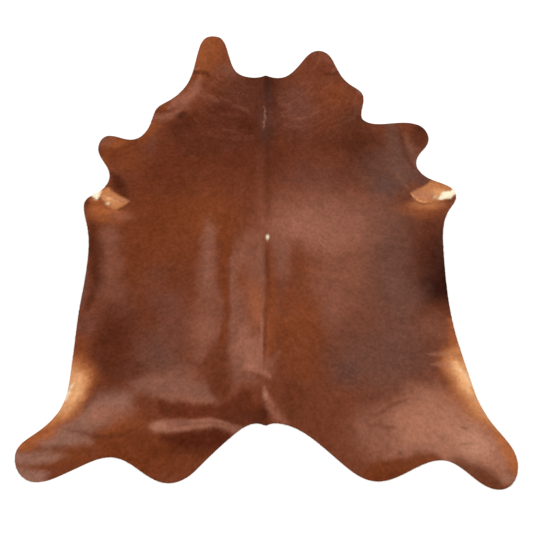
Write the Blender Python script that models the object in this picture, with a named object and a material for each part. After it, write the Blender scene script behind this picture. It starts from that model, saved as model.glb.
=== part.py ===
"""A cowhide rug: one whole hide with its hair on, lying flat with the hair side up.

The hide is a single sheet of tanned leather and lying hair, so the model is one solid. Its edge is a
closed curve through the places where a hide turns (ears, neck, forelegs, elbows, flanks, hind feet,
rump and tail), and each place also says which way the edge heads there. The underside lies on the
plane z = 0, apart from the few folds that a hide keeps after tanning, where the sheet bows up.

Units are metres, +Z is up and +Y points from the tail to the neck. The origin is below the middle of
the hide, on the surface that it lies on.
"""

import math
from collections import namedtuple

import bpy
import numpy as np
from mathutils.geometry import delaunay_2d_cdt

# ---------------------------------------------------------------- driving sizes
HIDE_WIDTH = 2.076      # across the hind feet, where the hide is widest
HIDE_LENGTH = 2.228     # from the tip of the left ear to the end of the right hind foot
LEATHER = 0.0025        # tanned skin
LYING_HAIR = 0.0015     # short hair, combed down flat
THICKNESS = LEATHER + LYING_HAIR

EDGE_STEP = 0.025       # spacing of points along a straight stretch of the edge
EDGE_TURN = 12.0        # a curved stretch gets a point for this many degrees, or fewer
OPEN_STEP = 0.070       # spacing of points where the hide is flat
FOLD_STEP = 0.027       # spacing of points on a fold
CLEAR_OF_EDGE = 0.55    # inner points keep this share of their spacing away from the edge

MILLIMETRE = 0.001

# ---------------------------------------------------------------- the edge of the hide
# Millimetres across (+ is the hide's right in this view) and along (+ is towards the neck). The edge
# runs anticlockwise. heading is its direction in degrees, anticlockwise from +X, as it arrives;
# corner is how far it turns on the spot, which is 0 except at the two ends of the backbone.
Landmark = namedtuple("Landmark", "name across along heading corner")

LANDMARKS = [
    Landmark("neck end of the backbone", 0, 881, 156, 44),
    Landmark("left of the neck", -60, 869, 177, 0),
    Landmark("left ear, inner root", -150, 907, 127, 0),
    Landmark("left ear, inner side", -186, 1000, 107, 0),
    Landmark("left ear, shoulder", -223, 1098, 130, 0),
    Landmark("left ear tip", -273, 1114, 182, 0),
    Landmark("left ear, outer side", -340, 1000, 259, 0),
    Landmark("left cheek", -383, 836, 243, 0),
    Landmark("left jaw", -480, 731, 212, 0),
    Landmark("left jaw knob", -530, 688, 242, 0),
    Landmark("left side of the neck", -547, 632, 257, 0),
    Landmark("left throat hollow", -640, 520, 184, 0),
    Landmark("left foreleg, top", -748, 541, 180, 0),
    Landmark("left foreleg, tip", -795, 480, 268, 0),
    Landmark("left armpit", -731, 325, 272, 0),
    Landmark("left armpit, lower side", -776, 242, 218, 0),
    Landmark("left elbow", -840, 178, 268, 0),
    Landmark("left ribs", -815, 60, 283, 0),
    Landmark("left belly", -821, -330, 265, 0),
    Landmark("left flank", -833, -610, 267, 0),
    Landmark("left flank hollow", -872, -792, 239, 0),
    Landmark("left thigh", -965, -888, 216, 0),
    Landmark("left hock", -1037, -975, 268, 0),
    Landmark("left hind foot", -940, -1084, 0, 0),
    Landmark("left shin", -800, -1037, 24, 0),
    Landmark("left thigh hollow", -648, -983, 2, 0),
    Landmark("left rump lobe", -397, -1088, 0, 0),
    Landmark("left rump lobe, inner side", -285, -1032, 46, 0),
    Landmark("left of the tail", -144, -898, 40, 0),
    Landmark("left tail hollow", -42, -842, 2, 0),
    Landmark("tail end of the backbone", 0, -850, 341, 38),
    Landmark("right tail hollow", 40, -841, 358, 0),
    Landmark("right rump lobe, inner side", 290, -986, 319, 0),
    Landmark("right rump lobe", 459, -1081, 0, 0),
    Landmark("right thigh hollow", 722, -995, 2, 0),
    Landmark("right hind foot", 955, -1114, 0, 0),
    Landmark("right hock", 1039, -1010, 90, 0),
    Landmark("right thigh", 940, -829, 121, 0),
    Landmark("right flank hollow", 880, -690, 105, 0),
    Landmark("right flank", 839, -519, 102, 0),
    Landmark("right belly", 804, -20, 88, 0),
    Landmark("right ribs", 845, 150, 57, 0),
    Landmark("right elbow", 882, 224, 92, 0),
    Landmark("right armpit, lower side", 790, 299, 158, 0),
    Landmark("right armpit", 708, 392, 90, 0),
    Landmark("right foreleg, lower side", 748, 469, 49, 0),
    Landmark("right foreleg, tip", 775, 530, 92, 0),
    Landmark("right foreleg, top", 730, 601, 157, 0),
    Landmark("right foreleg, root", 530, 606, 176, 0),
    Landmark("right throat hollow", 459, 654, 90, 0),
    Landmark("right jaw knob", 460, 790, 130, 0),
    Landmark("right cheek", 405, 835, 137, 0),
    Landmark("right ear, outer side", 345, 933, 112, 0),
    Landmark("right ear, shoulder", 311, 1003, 130, 0),
    Landmark("right ear tip", 260, 1027, 182, 0),
    Landmark("right ear, inner side", 190, 975, 234, 0),
    Landmark("right ear, inner root", 119, 889, 221, 0),
    Landmark("right of the neck", 57, 867, 178, 0),
]

# ---------------------------------------------------------------- the folds that stay in the hide
# A fold is a ridge from a start to an end, in millimetres. bow is how far the middle of its crest
# lies to the left of the straight line, rise is how high the sheet stands there, half_width is from
# the crest to where the sheet is flat again, and fade is the share of its length over which each
# end dies away.
Fold = namedtuple("Fold", "name start_x start_y end_x end_y bow rise half_width fade")

FOLDS = [
    Fold("backbone, neck half", 0, 905, 0, 100, -3, 5, 60, 0.30),
    Fold("backbone, tail half", 0, 260, 4, -700, 5, 6, 75, 0.35),
    Fold("tail root, left crease", 0, -560, -40, -850, 12, 5, 55, 0.40),
    Fold("tail root, right crease", 55, -520, 5, -860, -14, 7, 60, 0.40),
    Fold("rump roll", -560, -905, -70, -880, 42, 17, 85, 0.42),
    Fold("rump hollow's upper side", -420, -640, -90, -730, 30, 6, 90, 0.50),
    Fold("rump wrinkle", -140, -600, 60, -680, 14, 4, 40, 0.45),
    Fold("left thigh fold", -900, -860, -520, -840, -52, 9, 75, 0.45),
    Fold("left hock wrinkle", -1030, -935, -700, -1000, 18, 4, 60, 0.45),
    Fold("left flank swell", -815, -800, -770, -420, -20, 12, 110, 0.45),
    Fold("right flank swell", 905, -800, 790, -400, 22, 12, 110, 0.45),
    Fold("right belly swell", 770, -380, 770, 90, 10, 8, 95, 0.50),
    Fold("left belly swell", -790, -260, -785, 60, -8, 6, 80, 0.50),
    Fold("left elbow pucker", -860, 232, -600, 160, -8, 9, 55, 0.40),
    Fold("left elbow crease", -640, 110, -330, 95, -14, 3, 50, 0.50),
    Fold("right elbow pucker", 900, 235, 660, 235, 10, 9, 55, 0.40),
    Fold("left foreleg swell", -790, 470, -560, 400, 10, 6, 80, 0.50),
    Fold("right foreleg swell", 770, 520, 560, 430, -14, 6, 80, 0.50),
    Fold("right foreleg crease", 590, 640, 610, 330, 8, 5, 50, 0.45),
    Fold("left ear root", -370, 925, -215, 850, -14, 6, 55, 0.45),
    Fold("right ear root", 375, 915, 215, 880, 12, 5, 55, 0.45),
    Fold("left jaw swell", -520, 660, -330, 640, 16, 5, 80, 0.50),
    Fold("right rump swell", 320, -1060, 480, -760, -30, 7, 120, 0.50),
    Fold("right hock swell", 990, -1060, 800, -880, 24, 8, 100, 0.50),
]


# ---------------------------------------------------------------- the edge as a smooth curve
def reach(leaving, arriving):
    """Hobby's rule: how long a Bezier handle is, as a share of the chord.

    leaving and arriving are the angles that the curve makes with its chord at its two ends.
    """
    wobble = (math.sin(leaving) - math.sin(arriving) / 16) * (math.sin(arriving) - math.sin(leaving) / 16)
    pull = 2 + math.sqrt(2) * wobble * (math.cos(leaving) - math.cos(arriving))
    golden = math.sqrt(5)
    return pull / (3 * (1 + (golden - 1) * math.cos(leaving) / 2 + (3 - golden) * math.cos(arriving) / 2))


def half_turn(angle):
    """The same direction, as an angle between minus pi and pi."""
    return (angle + math.pi) % (2 * math.pi) - math.pi


def stretch(first, second):
    """Points of the edge from one landmark up to, but not at, the next one, in metres."""
    start = np.array([first.across, first.along]) * MILLIMETRE
    end = np.array([second.across, second.along]) * MILLIMETRE
    out = math.radians(first.heading + first.corner)
    into = math.radians(second.heading)
    chord = float(np.hypot(*(end - start)))
    lie = math.atan2(*(end - start)[::-1])
    leaving = half_turn(out - lie)
    arriving = half_turn(into - lie)
    start_handle = start + chord * reach(leaving, -arriving) * np.array([math.cos(out), math.sin(out)])
    end_handle = end - chord * reach(-arriving, leaving) * np.array([math.cos(into), math.sin(into)])
    turned = math.degrees(abs(leaving) + abs(arriving))
    count = math.ceil(max(chord / EDGE_STEP, turned / EDGE_TURN))
    t = np.arange(count)[:, None] / count
    return ((1 - t) ** 3 * start + 3 * (1 - t) ** 2 * t * start_handle
            + 3 * (1 - t) * t ** 2 * end_handle + t ** 3 * end)


def hide_edge():
    """The whole edge, anticlockwise, fitted to the driving width and length about the origin."""
    following = LANDMARKS[1:] + LANDMARKS[:1]
    edge = np.concatenate([stretch(first, second) for first, second in zip(LANDMARKS, following)])
    low, high = edge.min(axis=0), edge.max(axis=0)
    return (edge - (low + high) / 2) * np.array([HIDE_WIDTH, HIDE_LENGTH]) / (high - low)


# ---------------------------------------------------------------- how far the sheet stands up
def fold_rise(fold, points):
    """Height of one fold at each point.

    Across the fold the height is (1 - (d / half_width)^2)^2, which is level at the crest and meets
    the flat sheet without a step. Along it, each end rises and dies away as a half cosine.
    """
    start = np.array([fold.start_x, fold.start_y]) * MILLIMETRE
    end = np.array([fold.end_x, fold.end_y]) * MILLIMETRE
    length = np.hypot(*(end - start))
    ahead = (end - start) / length
    beside = np.array([-ahead[1], ahead[0]])
    along = (points - start) @ ahead / length
    crest = fold.bow * MILLIMETRE * 4 * along * (1 - along)
    away = ((points - start) @ beside - crest) / (fold.half_width * MILLIMETRE)
    across = np.clip(1 - away ** 2, 0, None) ** 2
    from_end = np.clip(np.minimum(along, 1 - along) / fold.fade, 0, 1)
    return fold.rise * MILLIMETRE * across * (1 - np.cos(math.pi * from_end)) / 2


def lift(points):
    """Height of the underside above the floor: all the folds together, and 0 between them."""
    return sum(fold_rise(fold, points) for fold in FOLDS)


# ---------------------------------------------------------------- where the inner points go
def inside(points, edge):
    """True for each point that the edge goes round: a line to the right crosses it an odd number of times."""
    x, y = points[:, :1], points[:, 1:]
    after = np.roll(edge, -1, axis=0)
    straddles = (edge[:, 1] > y) != (after[:, 1] > y)
    rise = after[:, 1] - edge[:, 1]
    slope = (after[:, 0] - edge[:, 0]) / np.where(rise == 0, 1, rise)
    crosses = straddles & (x < edge[:, 0] + (y - edge[:, 1]) * slope)
    return crosses.sum(axis=1) % 2 == 1


def from_edge(points, edge):
    """Distance from each point to the nearest stretch of the edge."""
    side = np.roll(edge, -1, axis=0) - edge
    to_point = points[:, None, :] - edge
    share = np.clip((to_point * side).sum(axis=2) / (side ** 2).sum(axis=1), 0, 1)
    return np.linalg.norm(to_point - share[..., None] * side, axis=2).min(axis=1)


def staggered_grid(step):
    """Points of a grid of equal triangles over the hide's rectangle."""
    rows = np.arange(-HIDE_LENGTH / 2, HIDE_LENGTH / 2, step * math.sqrt(3) / 2)
    columns = np.arange(-HIDE_WIDTH / 2, HIDE_WIDTH / 2, step)
    x, y = np.meshgrid(columns, rows)
    x[1::2] += step / 2
    return np.column_stack([x.ravel(), y.ravel()])


def inner_points(edge):
    """Wide spacing on the flat, and close spacing on the folds."""
    chosen = []
    for step, on_fold in ((OPEN_STEP, False), (FOLD_STEP, True)):
        grid = staggered_grid(step)
        grid = grid[inside(grid, edge)]
        grid = grid[from_edge(grid, edge) > CLEAR_OF_EDGE * min(step, EDGE_STEP)]
        chosen.append(grid[(lift(grid) > 0) == on_fold])
    return np.concatenate(chosen)


# ---------------------------------------------------------------- the hide
def hide_mesh():
    """The underside as triangles between the edge and the inner points, lifted by the folds."""
    edge = hide_edge()
    flat = np.concatenate([edge, inner_points(edge)])
    ring = [(i, (i + 1) % len(edge)) for i in range(len(edge))]
    inside_constraints = 1
    points, _, faces, *_ = delaunay_2d_cdt(flat.tolist(), ring, [], inside_constraints, 1e-6)
    points = np.array([tuple(point) for point in points])
    placed = np.column_stack([points, lift(points)])
    mesh = bpy.data.meshes.new("hide")
    mesh.from_pydata(placed.tolist(), [], [list(face) for face in faces])
    mesh.shade_smooth()
    return mesh


def hide_material():
    """Glossy red-brown hair, as the hide looks from a distance."""
    material = bpy.data.materials.new("brown_hair")
    material.use_nodes = True
    shader = material.node_tree.nodes["Principled BSDF"]
    shader.inputs["Base Color"].default_value = (0.195, 0.052, 0.022, 1.0)
    shader.inputs["Roughness"].default_value = 0.48
    shader.inputs["Metallic"].default_value = 0.0
    material.diffuse_color = (0.195, 0.052, 0.022, 1.0)
    return material


def build_hide():
    """The sheet, thickened upwards from its underside."""
    hide = bpy.data.objects.new("hide", hide_mesh())
    bpy.context.scene.collection.objects.link(hide)
    hide.data.materials.append(hide_material())
    thick = hide.modifiers.new("leather and hair", 'SOLIDIFY')
    thick.thickness = THICKNESS
    thick.offset = 1.0
    thick.use_rim = True
    return hide


def main():
    for old in list(bpy.data.objects):
        bpy.data.objects.remove(old, do_unlink=True)
    build_hide()


main()
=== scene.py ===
# %% [markdown]
# # A cowhide rug
#
# The rug is one whole cowhide with its hair on. It lies on the floor with the hair up, and its outline
# is the animal's own: two ears at the neck end, the forelegs, the elbows, the flanks and the hind legs,
# with the line of the backbone down the middle.
#
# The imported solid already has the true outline, thickness and folds. This lesson dresses it: the
# hide is built again as a fine closed sheet, then it gets its colours, its combed hair and its
# pale suede underside.

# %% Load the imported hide
import math
from collections import namedtuple

import bpy
import numpy as np
from mathutils.geometry import delaunay_2d_cdt
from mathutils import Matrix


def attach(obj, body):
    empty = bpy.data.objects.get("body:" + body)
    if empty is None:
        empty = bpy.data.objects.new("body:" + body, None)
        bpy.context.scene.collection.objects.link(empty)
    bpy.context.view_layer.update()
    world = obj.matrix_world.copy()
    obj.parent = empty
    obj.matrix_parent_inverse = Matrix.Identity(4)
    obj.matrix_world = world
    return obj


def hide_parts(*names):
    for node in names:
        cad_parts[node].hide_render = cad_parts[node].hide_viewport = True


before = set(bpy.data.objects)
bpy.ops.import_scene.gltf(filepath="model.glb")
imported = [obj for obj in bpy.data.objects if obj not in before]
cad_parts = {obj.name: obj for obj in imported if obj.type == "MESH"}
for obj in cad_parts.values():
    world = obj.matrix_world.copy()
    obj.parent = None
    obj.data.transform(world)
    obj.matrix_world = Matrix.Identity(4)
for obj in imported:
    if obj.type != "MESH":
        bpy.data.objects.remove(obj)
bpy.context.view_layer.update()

MM = 0.001
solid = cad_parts["hide"]

# %% [markdown]
# ## The camera and the light
#
# A rug is looked at from above, by someone standing at its tail end. The light is a wide soft box
# beyond the neck, so that it glances off the lying hair. A weaker one stands at the near left, and
# a pale room around them fills the shadows.

# %% Camera and light
AIM = (0.002, -0.131, 0.0)
VIEW_DISTANCE = 4.0
VIEW_HEIGHT = math.radians(68)


def stand_camera():
    """A 60 mm lens, four metres from the aim point, looking down at 68 degrees."""
    lens = bpy.data.cameras.new("camera")
    lens.lens = 60
    lens.sensor_width = 36
    camera = bpy.data.objects.new("camera", lens)
    camera.location = (AIM[0], AIM[1] - VIEW_DISTANCE * math.cos(VIEW_HEIGHT),
                       AIM[2] + VIEW_DISTANCE * math.sin(VIEW_HEIGHT))
    camera.rotation_euler = (math.pi / 2 - VIEW_HEIGHT, 0, 0)
    bpy.context.scene.collection.objects.link(camera)
    bpy.context.scene.camera = camera


def soft_box(name, place, aim, size, watts):
    """A square lamp that faces the point it is aimed at."""
    lamp = bpy.data.lights.new(name, 'AREA')
    lamp.size = size
    lamp.energy = watts
    box = bpy.data.objects.new(name, lamp)
    box.location = place
    away = np.subtract(place, aim)
    flat = math.hypot(away[0], away[1])
    box.rotation_euler = (math.atan2(flat, away[2]), 0, math.atan2(away[1], away[0]) + math.pi / 2)
    bpy.context.scene.collection.objects.link(box)


def pale_room(strength):
    """An even, nearly white room, which fills the shadows."""
    room = bpy.data.worlds.new("room")
    room.use_nodes = True
    room.node_tree.nodes["Background"].inputs["Color"].default_value = (1.0, 0.99, 0.97, 1)
    room.node_tree.nodes["Background"].inputs["Strength"].default_value = strength
    bpy.context.scene.world = room


stand_camera()
soft_box("window", (0.9, 1.2, 3.6), (0.2, -0.2, 0.0), 2.2, 54)
soft_box("side_fill", (-2.6, -1.8, 3.2), (0.0, -0.4, 0.0), 2.4, 29)
pale_room(0.70)
bpy.context.scene.view_settings.view_transform = 'Standard'
print("camera and", len(bpy.data.lights), "lamps")

# %% [markdown]
# ## The outline
#
# The hide was cut to its outline with a knife, so the edge is a smooth line with small wavers in it.
# Its places could be typed in again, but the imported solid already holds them: the rim of the
# underside is the ring of sides that only one underside triangle uses.

# %% Rim of the solid
def rim_of(mesh):
    """The rim of the solid's underside, in order and anticlockwise, as an (n, 2) array of metres."""
    place = np.empty(len(mesh.vertices) * 3)
    mesh.vertices.foreach_get("co", place)
    corner = np.empty(len(mesh.loops), dtype=np.int32)
    mesh.loops.foreach_get("vertex_index", corner)
    spot, welded = np.unique(np.round(place.reshape(-1, 3), 5), axis=0, return_inverse=True)
    triangle = welded.ravel()[corner.reshape(-1, 3)]
    first, second, third = (spot[triangle[:, k]] for k in range(3))
    normal = np.cross(second - first, third - first)
    under = triangle[normal[:, 2] < -0.5 * np.linalg.norm(normal, axis=1)]
    side = np.concatenate([under[:, [0, 1]], under[:, [1, 2]], under[:, [2, 0]]])
    lone = ~np.isin(side[:, 0] * len(spot) + side[:, 1], side[:, 1] * len(spot) + side[:, 0])
    after = dict(side[lone].tolist())
    ring = [next(iter(after))]
    while after[ring[-1]] != ring[0]:
        ring.append(after[ring[-1]])
    return spot[ring[::-1], :2]


solid_rim = rim_of(solid.data)
print("the solid's rim has", len(solid_rim), "points")

# %% [markdown]
# ## An even ring
#
# The solid's corners are too far apart for a knife's smooth cut, so a closed curve runs through
# them. It gives as many even steps as we like, and every ring of the sheet has as many points.

# %% Smooth outline
EDGE_STEPS = 1700


def closed_curve(points, steps, between=16):
    """A smooth ring through the points, at even steps of length.

    Between two points the curve is the Catmull-Rom cubic: it passes through both, and its slope at
    each is half the way from the point before to the point after. Its length is added up over
    `between` short pieces from each point to the next.
    """
    count = len(points)
    t = np.arange(count * between) / between
    base = np.floor(t).astype(int)
    f = (t - base)[:, None]
    before, start, end, after = (points[(base + k) % count] for k in (-1, 0, 1, 2))
    ring = 0.5 * (2 * start + (end - before) * f + (2 * before - 5 * start + 4 * end - after) * f ** 2
                  + (3 * start - before - 3 * end + after) * f ** 3)
    closed = np.concatenate([ring, ring[:1]])
    length = np.concatenate([[0], np.cumsum(np.linalg.norm(np.diff(closed, axis=0), axis=1))])
    wanted = np.linspace(0, length[-1], steps, endpoint=False)
    return np.column_stack([np.interp(wanted, length, closed[:, k]) for k in range(2)])


def inward_of(ring):
    """Unit vectors that point into the hide, at right angles to the ring."""
    along = np.roll(ring, -1, axis=0) - np.roll(ring, 1, axis=0)
    along /= np.linalg.norm(along, axis=1)[:, None]
    return np.column_stack([-along[:, 1], along[:, 0]])


outline = closed_curve(solid_rim, EDGE_STEPS)
outline_length = np.linalg.norm(np.roll(outline, -1, axis=0) - outline, axis=1).sum()
outline_area = 0.5 * abs(np.cross(outline, np.roll(outline, -1, axis=0)).sum())
print(f"outline {outline_length:.2f} m round, {outline_area:.2f} square metres")

# %% [markdown]
# ## How far a point is from the edge
#
# Much of a hide depends on the distance to its edge: the pile thins there, and hair lies out over
# it. That distance is worked out once on a coarse grid, negative outside the hide, and then
# read between the grid's points. It changes so evenly that 8 mm squares are fine enough.

# %% Distance inside the edge
FIELD_STEP = 0.008
FIELD_MARGIN = 0.05


def inside(points, ring):
    """True where the ring goes round a point: a line to the right crosses it an odd number of times."""
    x, y = points[:, :1], points[:, 1:]
    after = np.roll(ring, -1, axis=0)
    straddles = (ring[:, 1] > y) != (after[:, 1] > y)
    rise = after[:, 1] - ring[:, 1]
    reach = ring[:, 0] + (y - ring[:, 1]) * (after[:, 0] - ring[:, 0]) / np.where(rise == 0, 1, rise)
    return (straddles & (x < reach)).sum(axis=1) % 2 == 1


def from_ring(points, ring):
    """Distance from each point to the nearest side of the ring."""
    side = np.roll(ring, -1, axis=0) - ring
    to_point = points[:, None, :] - ring
    share = np.clip((to_point * side).sum(axis=2) / (side ** 2).sum(axis=1), 0, 1)
    return np.sqrt(((to_point - share[..., None] * side) ** 2).sum(axis=2).min(axis=1))


field_low = outline.min(axis=0) - FIELD_MARGIN
field_count = np.ceil((outline.max(axis=0) + FIELD_MARGIN - field_low) / FIELD_STEP).astype(int) + 1
field_x, field_y = np.meshgrid(*(field_low[k] + FIELD_STEP * np.arange(field_count[k]) for k in (0, 1)),
                               indexing="ij")
field_points = np.column_stack([field_x.ravel(), field_y.ravel()])
coarse_ring = outline[::4]
# The points are taken in 60 parts, because each part is compared with the whole ring at once.
field_depth = np.concatenate([np.where(inside(part, coarse_ring), 1, -1) * from_ring(part, coarse_ring)
                              for part in np.array_split(field_points, 60)]).reshape(field_count)


def depth(points):
    """Metres inside the edge, and less than 0 outside, blended between the four nearest grid points."""
    place = np.clip((points - field_low) / FIELD_STEP, 0, field_count - 1.001)
    i, j = np.floor(place).astype(int).T
    u, v = (place - np.floor(place)).T
    return ((field_depth[i, j] * (1 - u) + field_depth[i + 1, j] * u) * (1 - v)
            + (field_depth[i, j + 1] * (1 - u) + field_depth[i + 1, j + 1] * u) * v)


print("deepest point is", round(float(field_depth.max()), 3), "m from the edge")

# %% [markdown]
# ## Folds
#
# A tanned hide never lies quite flat. Where the body was round, the sheet keeps a swell or a soft
# ridge. Cloth simulation would only flatten such a stiff sheet, so each fold is set one by one: a
# crest from a start to an end, with a height and a width. These are the folds of the imported solid.

# %% Fold table
# start and end in millimetres; bow is how far the crest's middle lies to the left of the straight
# line; rise and half_width are its height and reach; fade is the share over which each end dies away.
Fold = namedtuple("Fold", "name start_x start_y end_x end_y bow rise half_width fade")

FOLDS = [
    Fold("backbone, neck half", 0, 905, 0, 100, -3, 5, 60, 0.30),
    Fold("backbone, tail half", 0, 260, 4, -700, 5, 6, 75, 0.35),
    Fold("tail root, left crease", 0, -560, -40, -850, 12, 5, 55, 0.40),
    Fold("tail root, right crease", 55, -520, 5, -860, -14, 7, 60, 0.40),
    Fold("rump roll", -560, -905, -70, -880, 42, 17, 85, 0.42),
    Fold("rump hollow's upper side", -420, -640, -90, -730, 30, 6, 90, 0.50),
    Fold("rump wrinkle", -140, -600, 60, -680, 14, 4, 40, 0.45),
    Fold("left thigh fold", -900, -860, -520, -840, -52, 9, 75, 0.45),
    Fold("left hock wrinkle", -1030, -935, -700, -1000, 18, 4, 60, 0.45),
    Fold("left flank swell", -815, -800, -770, -420, -20, 12, 110, 0.45),
    Fold("right flank swell", 905, -800, 790, -400, 22, 12, 110, 0.45),
    Fold("right belly swell", 770, -380, 770, 90, 10, 8, 95, 0.50),
    Fold("left belly swell", -790, -260, -785, 60, -8, 6, 80, 0.50),
    Fold("left elbow pucker", -860, 232, -600, 160, -8, 9, 55, 0.40),
    Fold("left elbow crease", -640, 110, -330, 95, -14, 3, 50, 0.50),
    Fold("right elbow pucker", 900, 235, 660, 235, 10, 9, 55, 0.40),
    Fold("left foreleg swell", -790, 470, -560, 400, 10, 6, 80, 0.50),
    Fold("right foreleg swell", 770, 520, 560, 430, -14, 6, 80, 0.50),
    Fold("right foreleg crease", 590, 640, 610, 330, 8, 5, 50, 0.45),
    Fold("left ear root", -370, 925, -215, 850, -14, 6, 55, 0.45),
    Fold("right ear root", 375, 915, 215, 880, 12, 5, 55, 0.45),
    Fold("left jaw swell", -520, 660, -330, 640, 16, 5, 80, 0.50),
    Fold("right rump swell", 320, -1060, 480, -760, -30, 7, 120, 0.50),
    Fold("right hock swell", 990, -1060, 800, -880, 24, 8, 100, 0.50),
]

print(len(FOLDS), "folds, the highest", max(fold.rise for fold in FOLDS), "mm")

# %% [markdown]
# ## The shape of a fold
#
# Leather this thick has no sharp creases, so across its crest a fold rises and falls smoothly, and
# it also dies away smoothly at both ends. Where two folds cross, their heights are added.

# %% Shape of a fold
def band(points, start_x, start_y, end_x, end_y, bow, half_width, fade):
    """A soft band from 0 to 1 along a bowed line whose sizes are in millimetres.

    Across the line it is (1 - (d / half_width)^2)^2, level in the middle and level where it ends.
    Along it, each end rises as a half cosine.
    """
    start = np.array([start_x, start_y]) * MM
    end = np.array([end_x, end_y]) * MM
    length = np.hypot(*(end - start))
    ahead = (end - start) / length
    beside = np.array([-ahead[1], ahead[0]])
    along = (points - start) @ ahead / length
    middle = bow * MM * 4 * along * (1 - along)
    away = ((points - start) @ beside - middle) / (half_width * MM)
    from_end = np.clip(np.minimum(along, 1 - along) / fade, 0, 1)
    return np.clip(1 - away ** 2, 0, None) ** 2 * (1 - np.cos(math.pi * from_end)) / 2


def lift(points):
    """Height of the underside above the floor: all the folds added up."""
    height = np.zeros(len(points))
    for fold in FOLDS:
        height += fold.rise * MM * band(points, fold.start_x, fold.start_y, fold.end_x, fold.end_y,
                                        fold.bow, fold.half_width, fold.fade)
    return height


print("the outline rises to", round(float(lift(outline).max()) / MM, 1), "mm")

# %% [markdown]
# ## The way the hair lies
#
# Hair grows back from the backbone: along it in the middle, and more and more outward towards the
# belly and the legs. Two things follow from that direction. Random bumps that are averaged
# along it turn into combed streaks, and every lock of hair made later points that way.

# %% Hair direction and combed bumps
LATTICE = 256              # random numbers along each side of the noise's square, which then repeats
SIDEWAYS_AT = 0.2          # metres from the backbone where the hair lies at 45 degrees
LEG_TURN = 0.44            # radians by which it turns back on the hind legs


def soft_noise(points, size, seed):
    """Random bumps between -1 and 1, about `size` metres wide.

    The corners of a square lattice hold random numbers, blended inside a square by 3f^2 - 2f^3.
    """
    corner = np.random.default_rng(seed).uniform(-1, 1, (LATTICE, LATTICE))
    place = points / size
    base = np.floor(place).astype(int)
    f = place - base
    u, v = (f * f * (3 - 2 * f)).T
    i, j = (base % LATTICE).T
    i_next, j_next = ((base + 1) % LATTICE).T
    return ((corner[i, j] * (1 - u) + corner[i_next, j] * u) * (1 - v)
            + (corner[i, j_next] * (1 - u) + corner[i_next, j_next] * u) * v)


def hair_way(points):
    """Unit vectors of the hair's lie.

    Its angle from straight tailward is atan(|x| / 0.2 m) to either side, which is 0 at the backbone
    and about 75 degrees at the belly. On the hind legs it turns back by 25 degrees, along the leg,
    and slow random bumps turn it a little everywhere.
    """
    x, y = points.T
    angle = np.arctan(np.abs(x) / SIDEWAYS_AT) - LEG_TURN * np.clip(-(y + 0.55) / 0.3, 0, 1)
    angle += 0.22 * soft_noise(points, 0.16, 11) + 0.12 * soft_noise(points, 0.045, 12)
    angle *= np.tanh(x / 0.02)
    return np.column_stack([np.sin(angle), -np.cos(angle)])


def combed(points, size, reach, seed, taps=9):
    """Random bumps smeared into streaks along the hair's lie, over a length of `reach` metres.

    They are added up at `taps` places and divided by the square root of `taps`, which keeps the
    streaks about as strong as the bumps.
    """
    way = hair_way(points)
    total = np.zeros(len(points))
    for k in range(taps):
        total += soft_noise(points + way * (reach * (k / (taps - 1) - 0.5)), size, seed)
    return total / math.sqrt(taps)


print("lie of the hair at the left flank:", hair_way(np.array([[-0.7, -0.3]])).round(2)[0])

# %% [markdown]
# ## The coat's height
#
# The solid is 4 mm thick: leather below, flat hair above. In the fine sheet the hair also gets
# relief: combed streaks a few millimetres apart, slow mats, a parting along the backbone, and
# the small wrinkles of the neck. Near the edge the relief dies away, so that the rim stays even.

# %% Height of the hair
THICKNESS = 4.0 * MM
WRINKLE_FADE = 0.4         # share of a wrinkle's length over which each end dies away
RIM_FADE = 0.02            # metres from the edge within which the relief dies away

# Small wrinkles that only the hair shows, in millimetres; rise is below zero for a crease.
Wrinkle = namedtuple("Wrinkle", "start_x start_y end_x end_y bow rise half_width")

WRINKLES = [
    Wrinkle(0, 900, 2, 120, -3, -1.1, 13),
    Wrinkle(2, 160, -2, -640, 4, -1.1, 13),
    Wrinkle(-372, 912, -270, 880, -12, -1.6, 16),
    Wrinkle(292, 905, 385, 900, 8, -1.4, 15),
    Wrinkle(-260, 800, -90, 700, 20, 0.8, 14),
    Wrinkle(-230, 740, -70, 640, 18, 0.8, 13),
    Wrinkle(-170, 690, -60, 560, 12, 0.7, 12),
    Wrinkle(60, 640, 250, 740, 24, 0.8, 13),
    Wrinkle(90, 590, 330, 690, 30, 0.9, 13),
    Wrinkle(120, 530, 300, 610, 20, 0.7, 12),
    Wrinkle(180, 880, 420, 700, 40, 0.8, 14),
    Wrinkle(250, 820, 430, 640, 30, 0.7, 13),
    Wrinkle(-640, 110, -330, 92, -16, -1.0, 16),
    Wrinkle(-120, -610, 50, -690, 14, 1.2, 16),
    Wrinkle(-730, 140, -610, 190, -14, -2.0, 18),
    Wrinkle(675, 228, 790, 178, -16, -1.8, 18),
]


def relief(points):
    """Height of the hair above or below its mean, in metres."""
    streaks = 0.16 * combed(points, 0.010, 0.07, 21) + 0.20 * combed(points, 0.022, 0.12, 22)
    mats = 0.28 * combed(points, 0.06, 0.20, 23) + 0.30 * soft_noise(points, 0.13, 24)
    height = (streaks + mats) * MM
    for row in WRINKLES:
        height += row.rise * MM * band(points, row.start_x, row.start_y, row.end_x, row.end_y,
                                       row.bow, row.half_width, WRINKLE_FADE)
    return height * np.clip(depth(points) / RIM_FADE, 0, 1)


def top_height(points):
    """Height of the hair's surface above the floor."""
    return lift(points) + THICKNESS + relief(points)


print("relief at the withers:", (relief(np.array([[0.1, 0.4]])) / MM).round(2), "mm")

# %% [markdown]
# ## Names for the colours
#
# The coat's colours are written as they look on a screen, from 0 to 255. A shader works with linear
# light, and the hair's gloss adds a little light to every colour, so that much is taken off.

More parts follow.
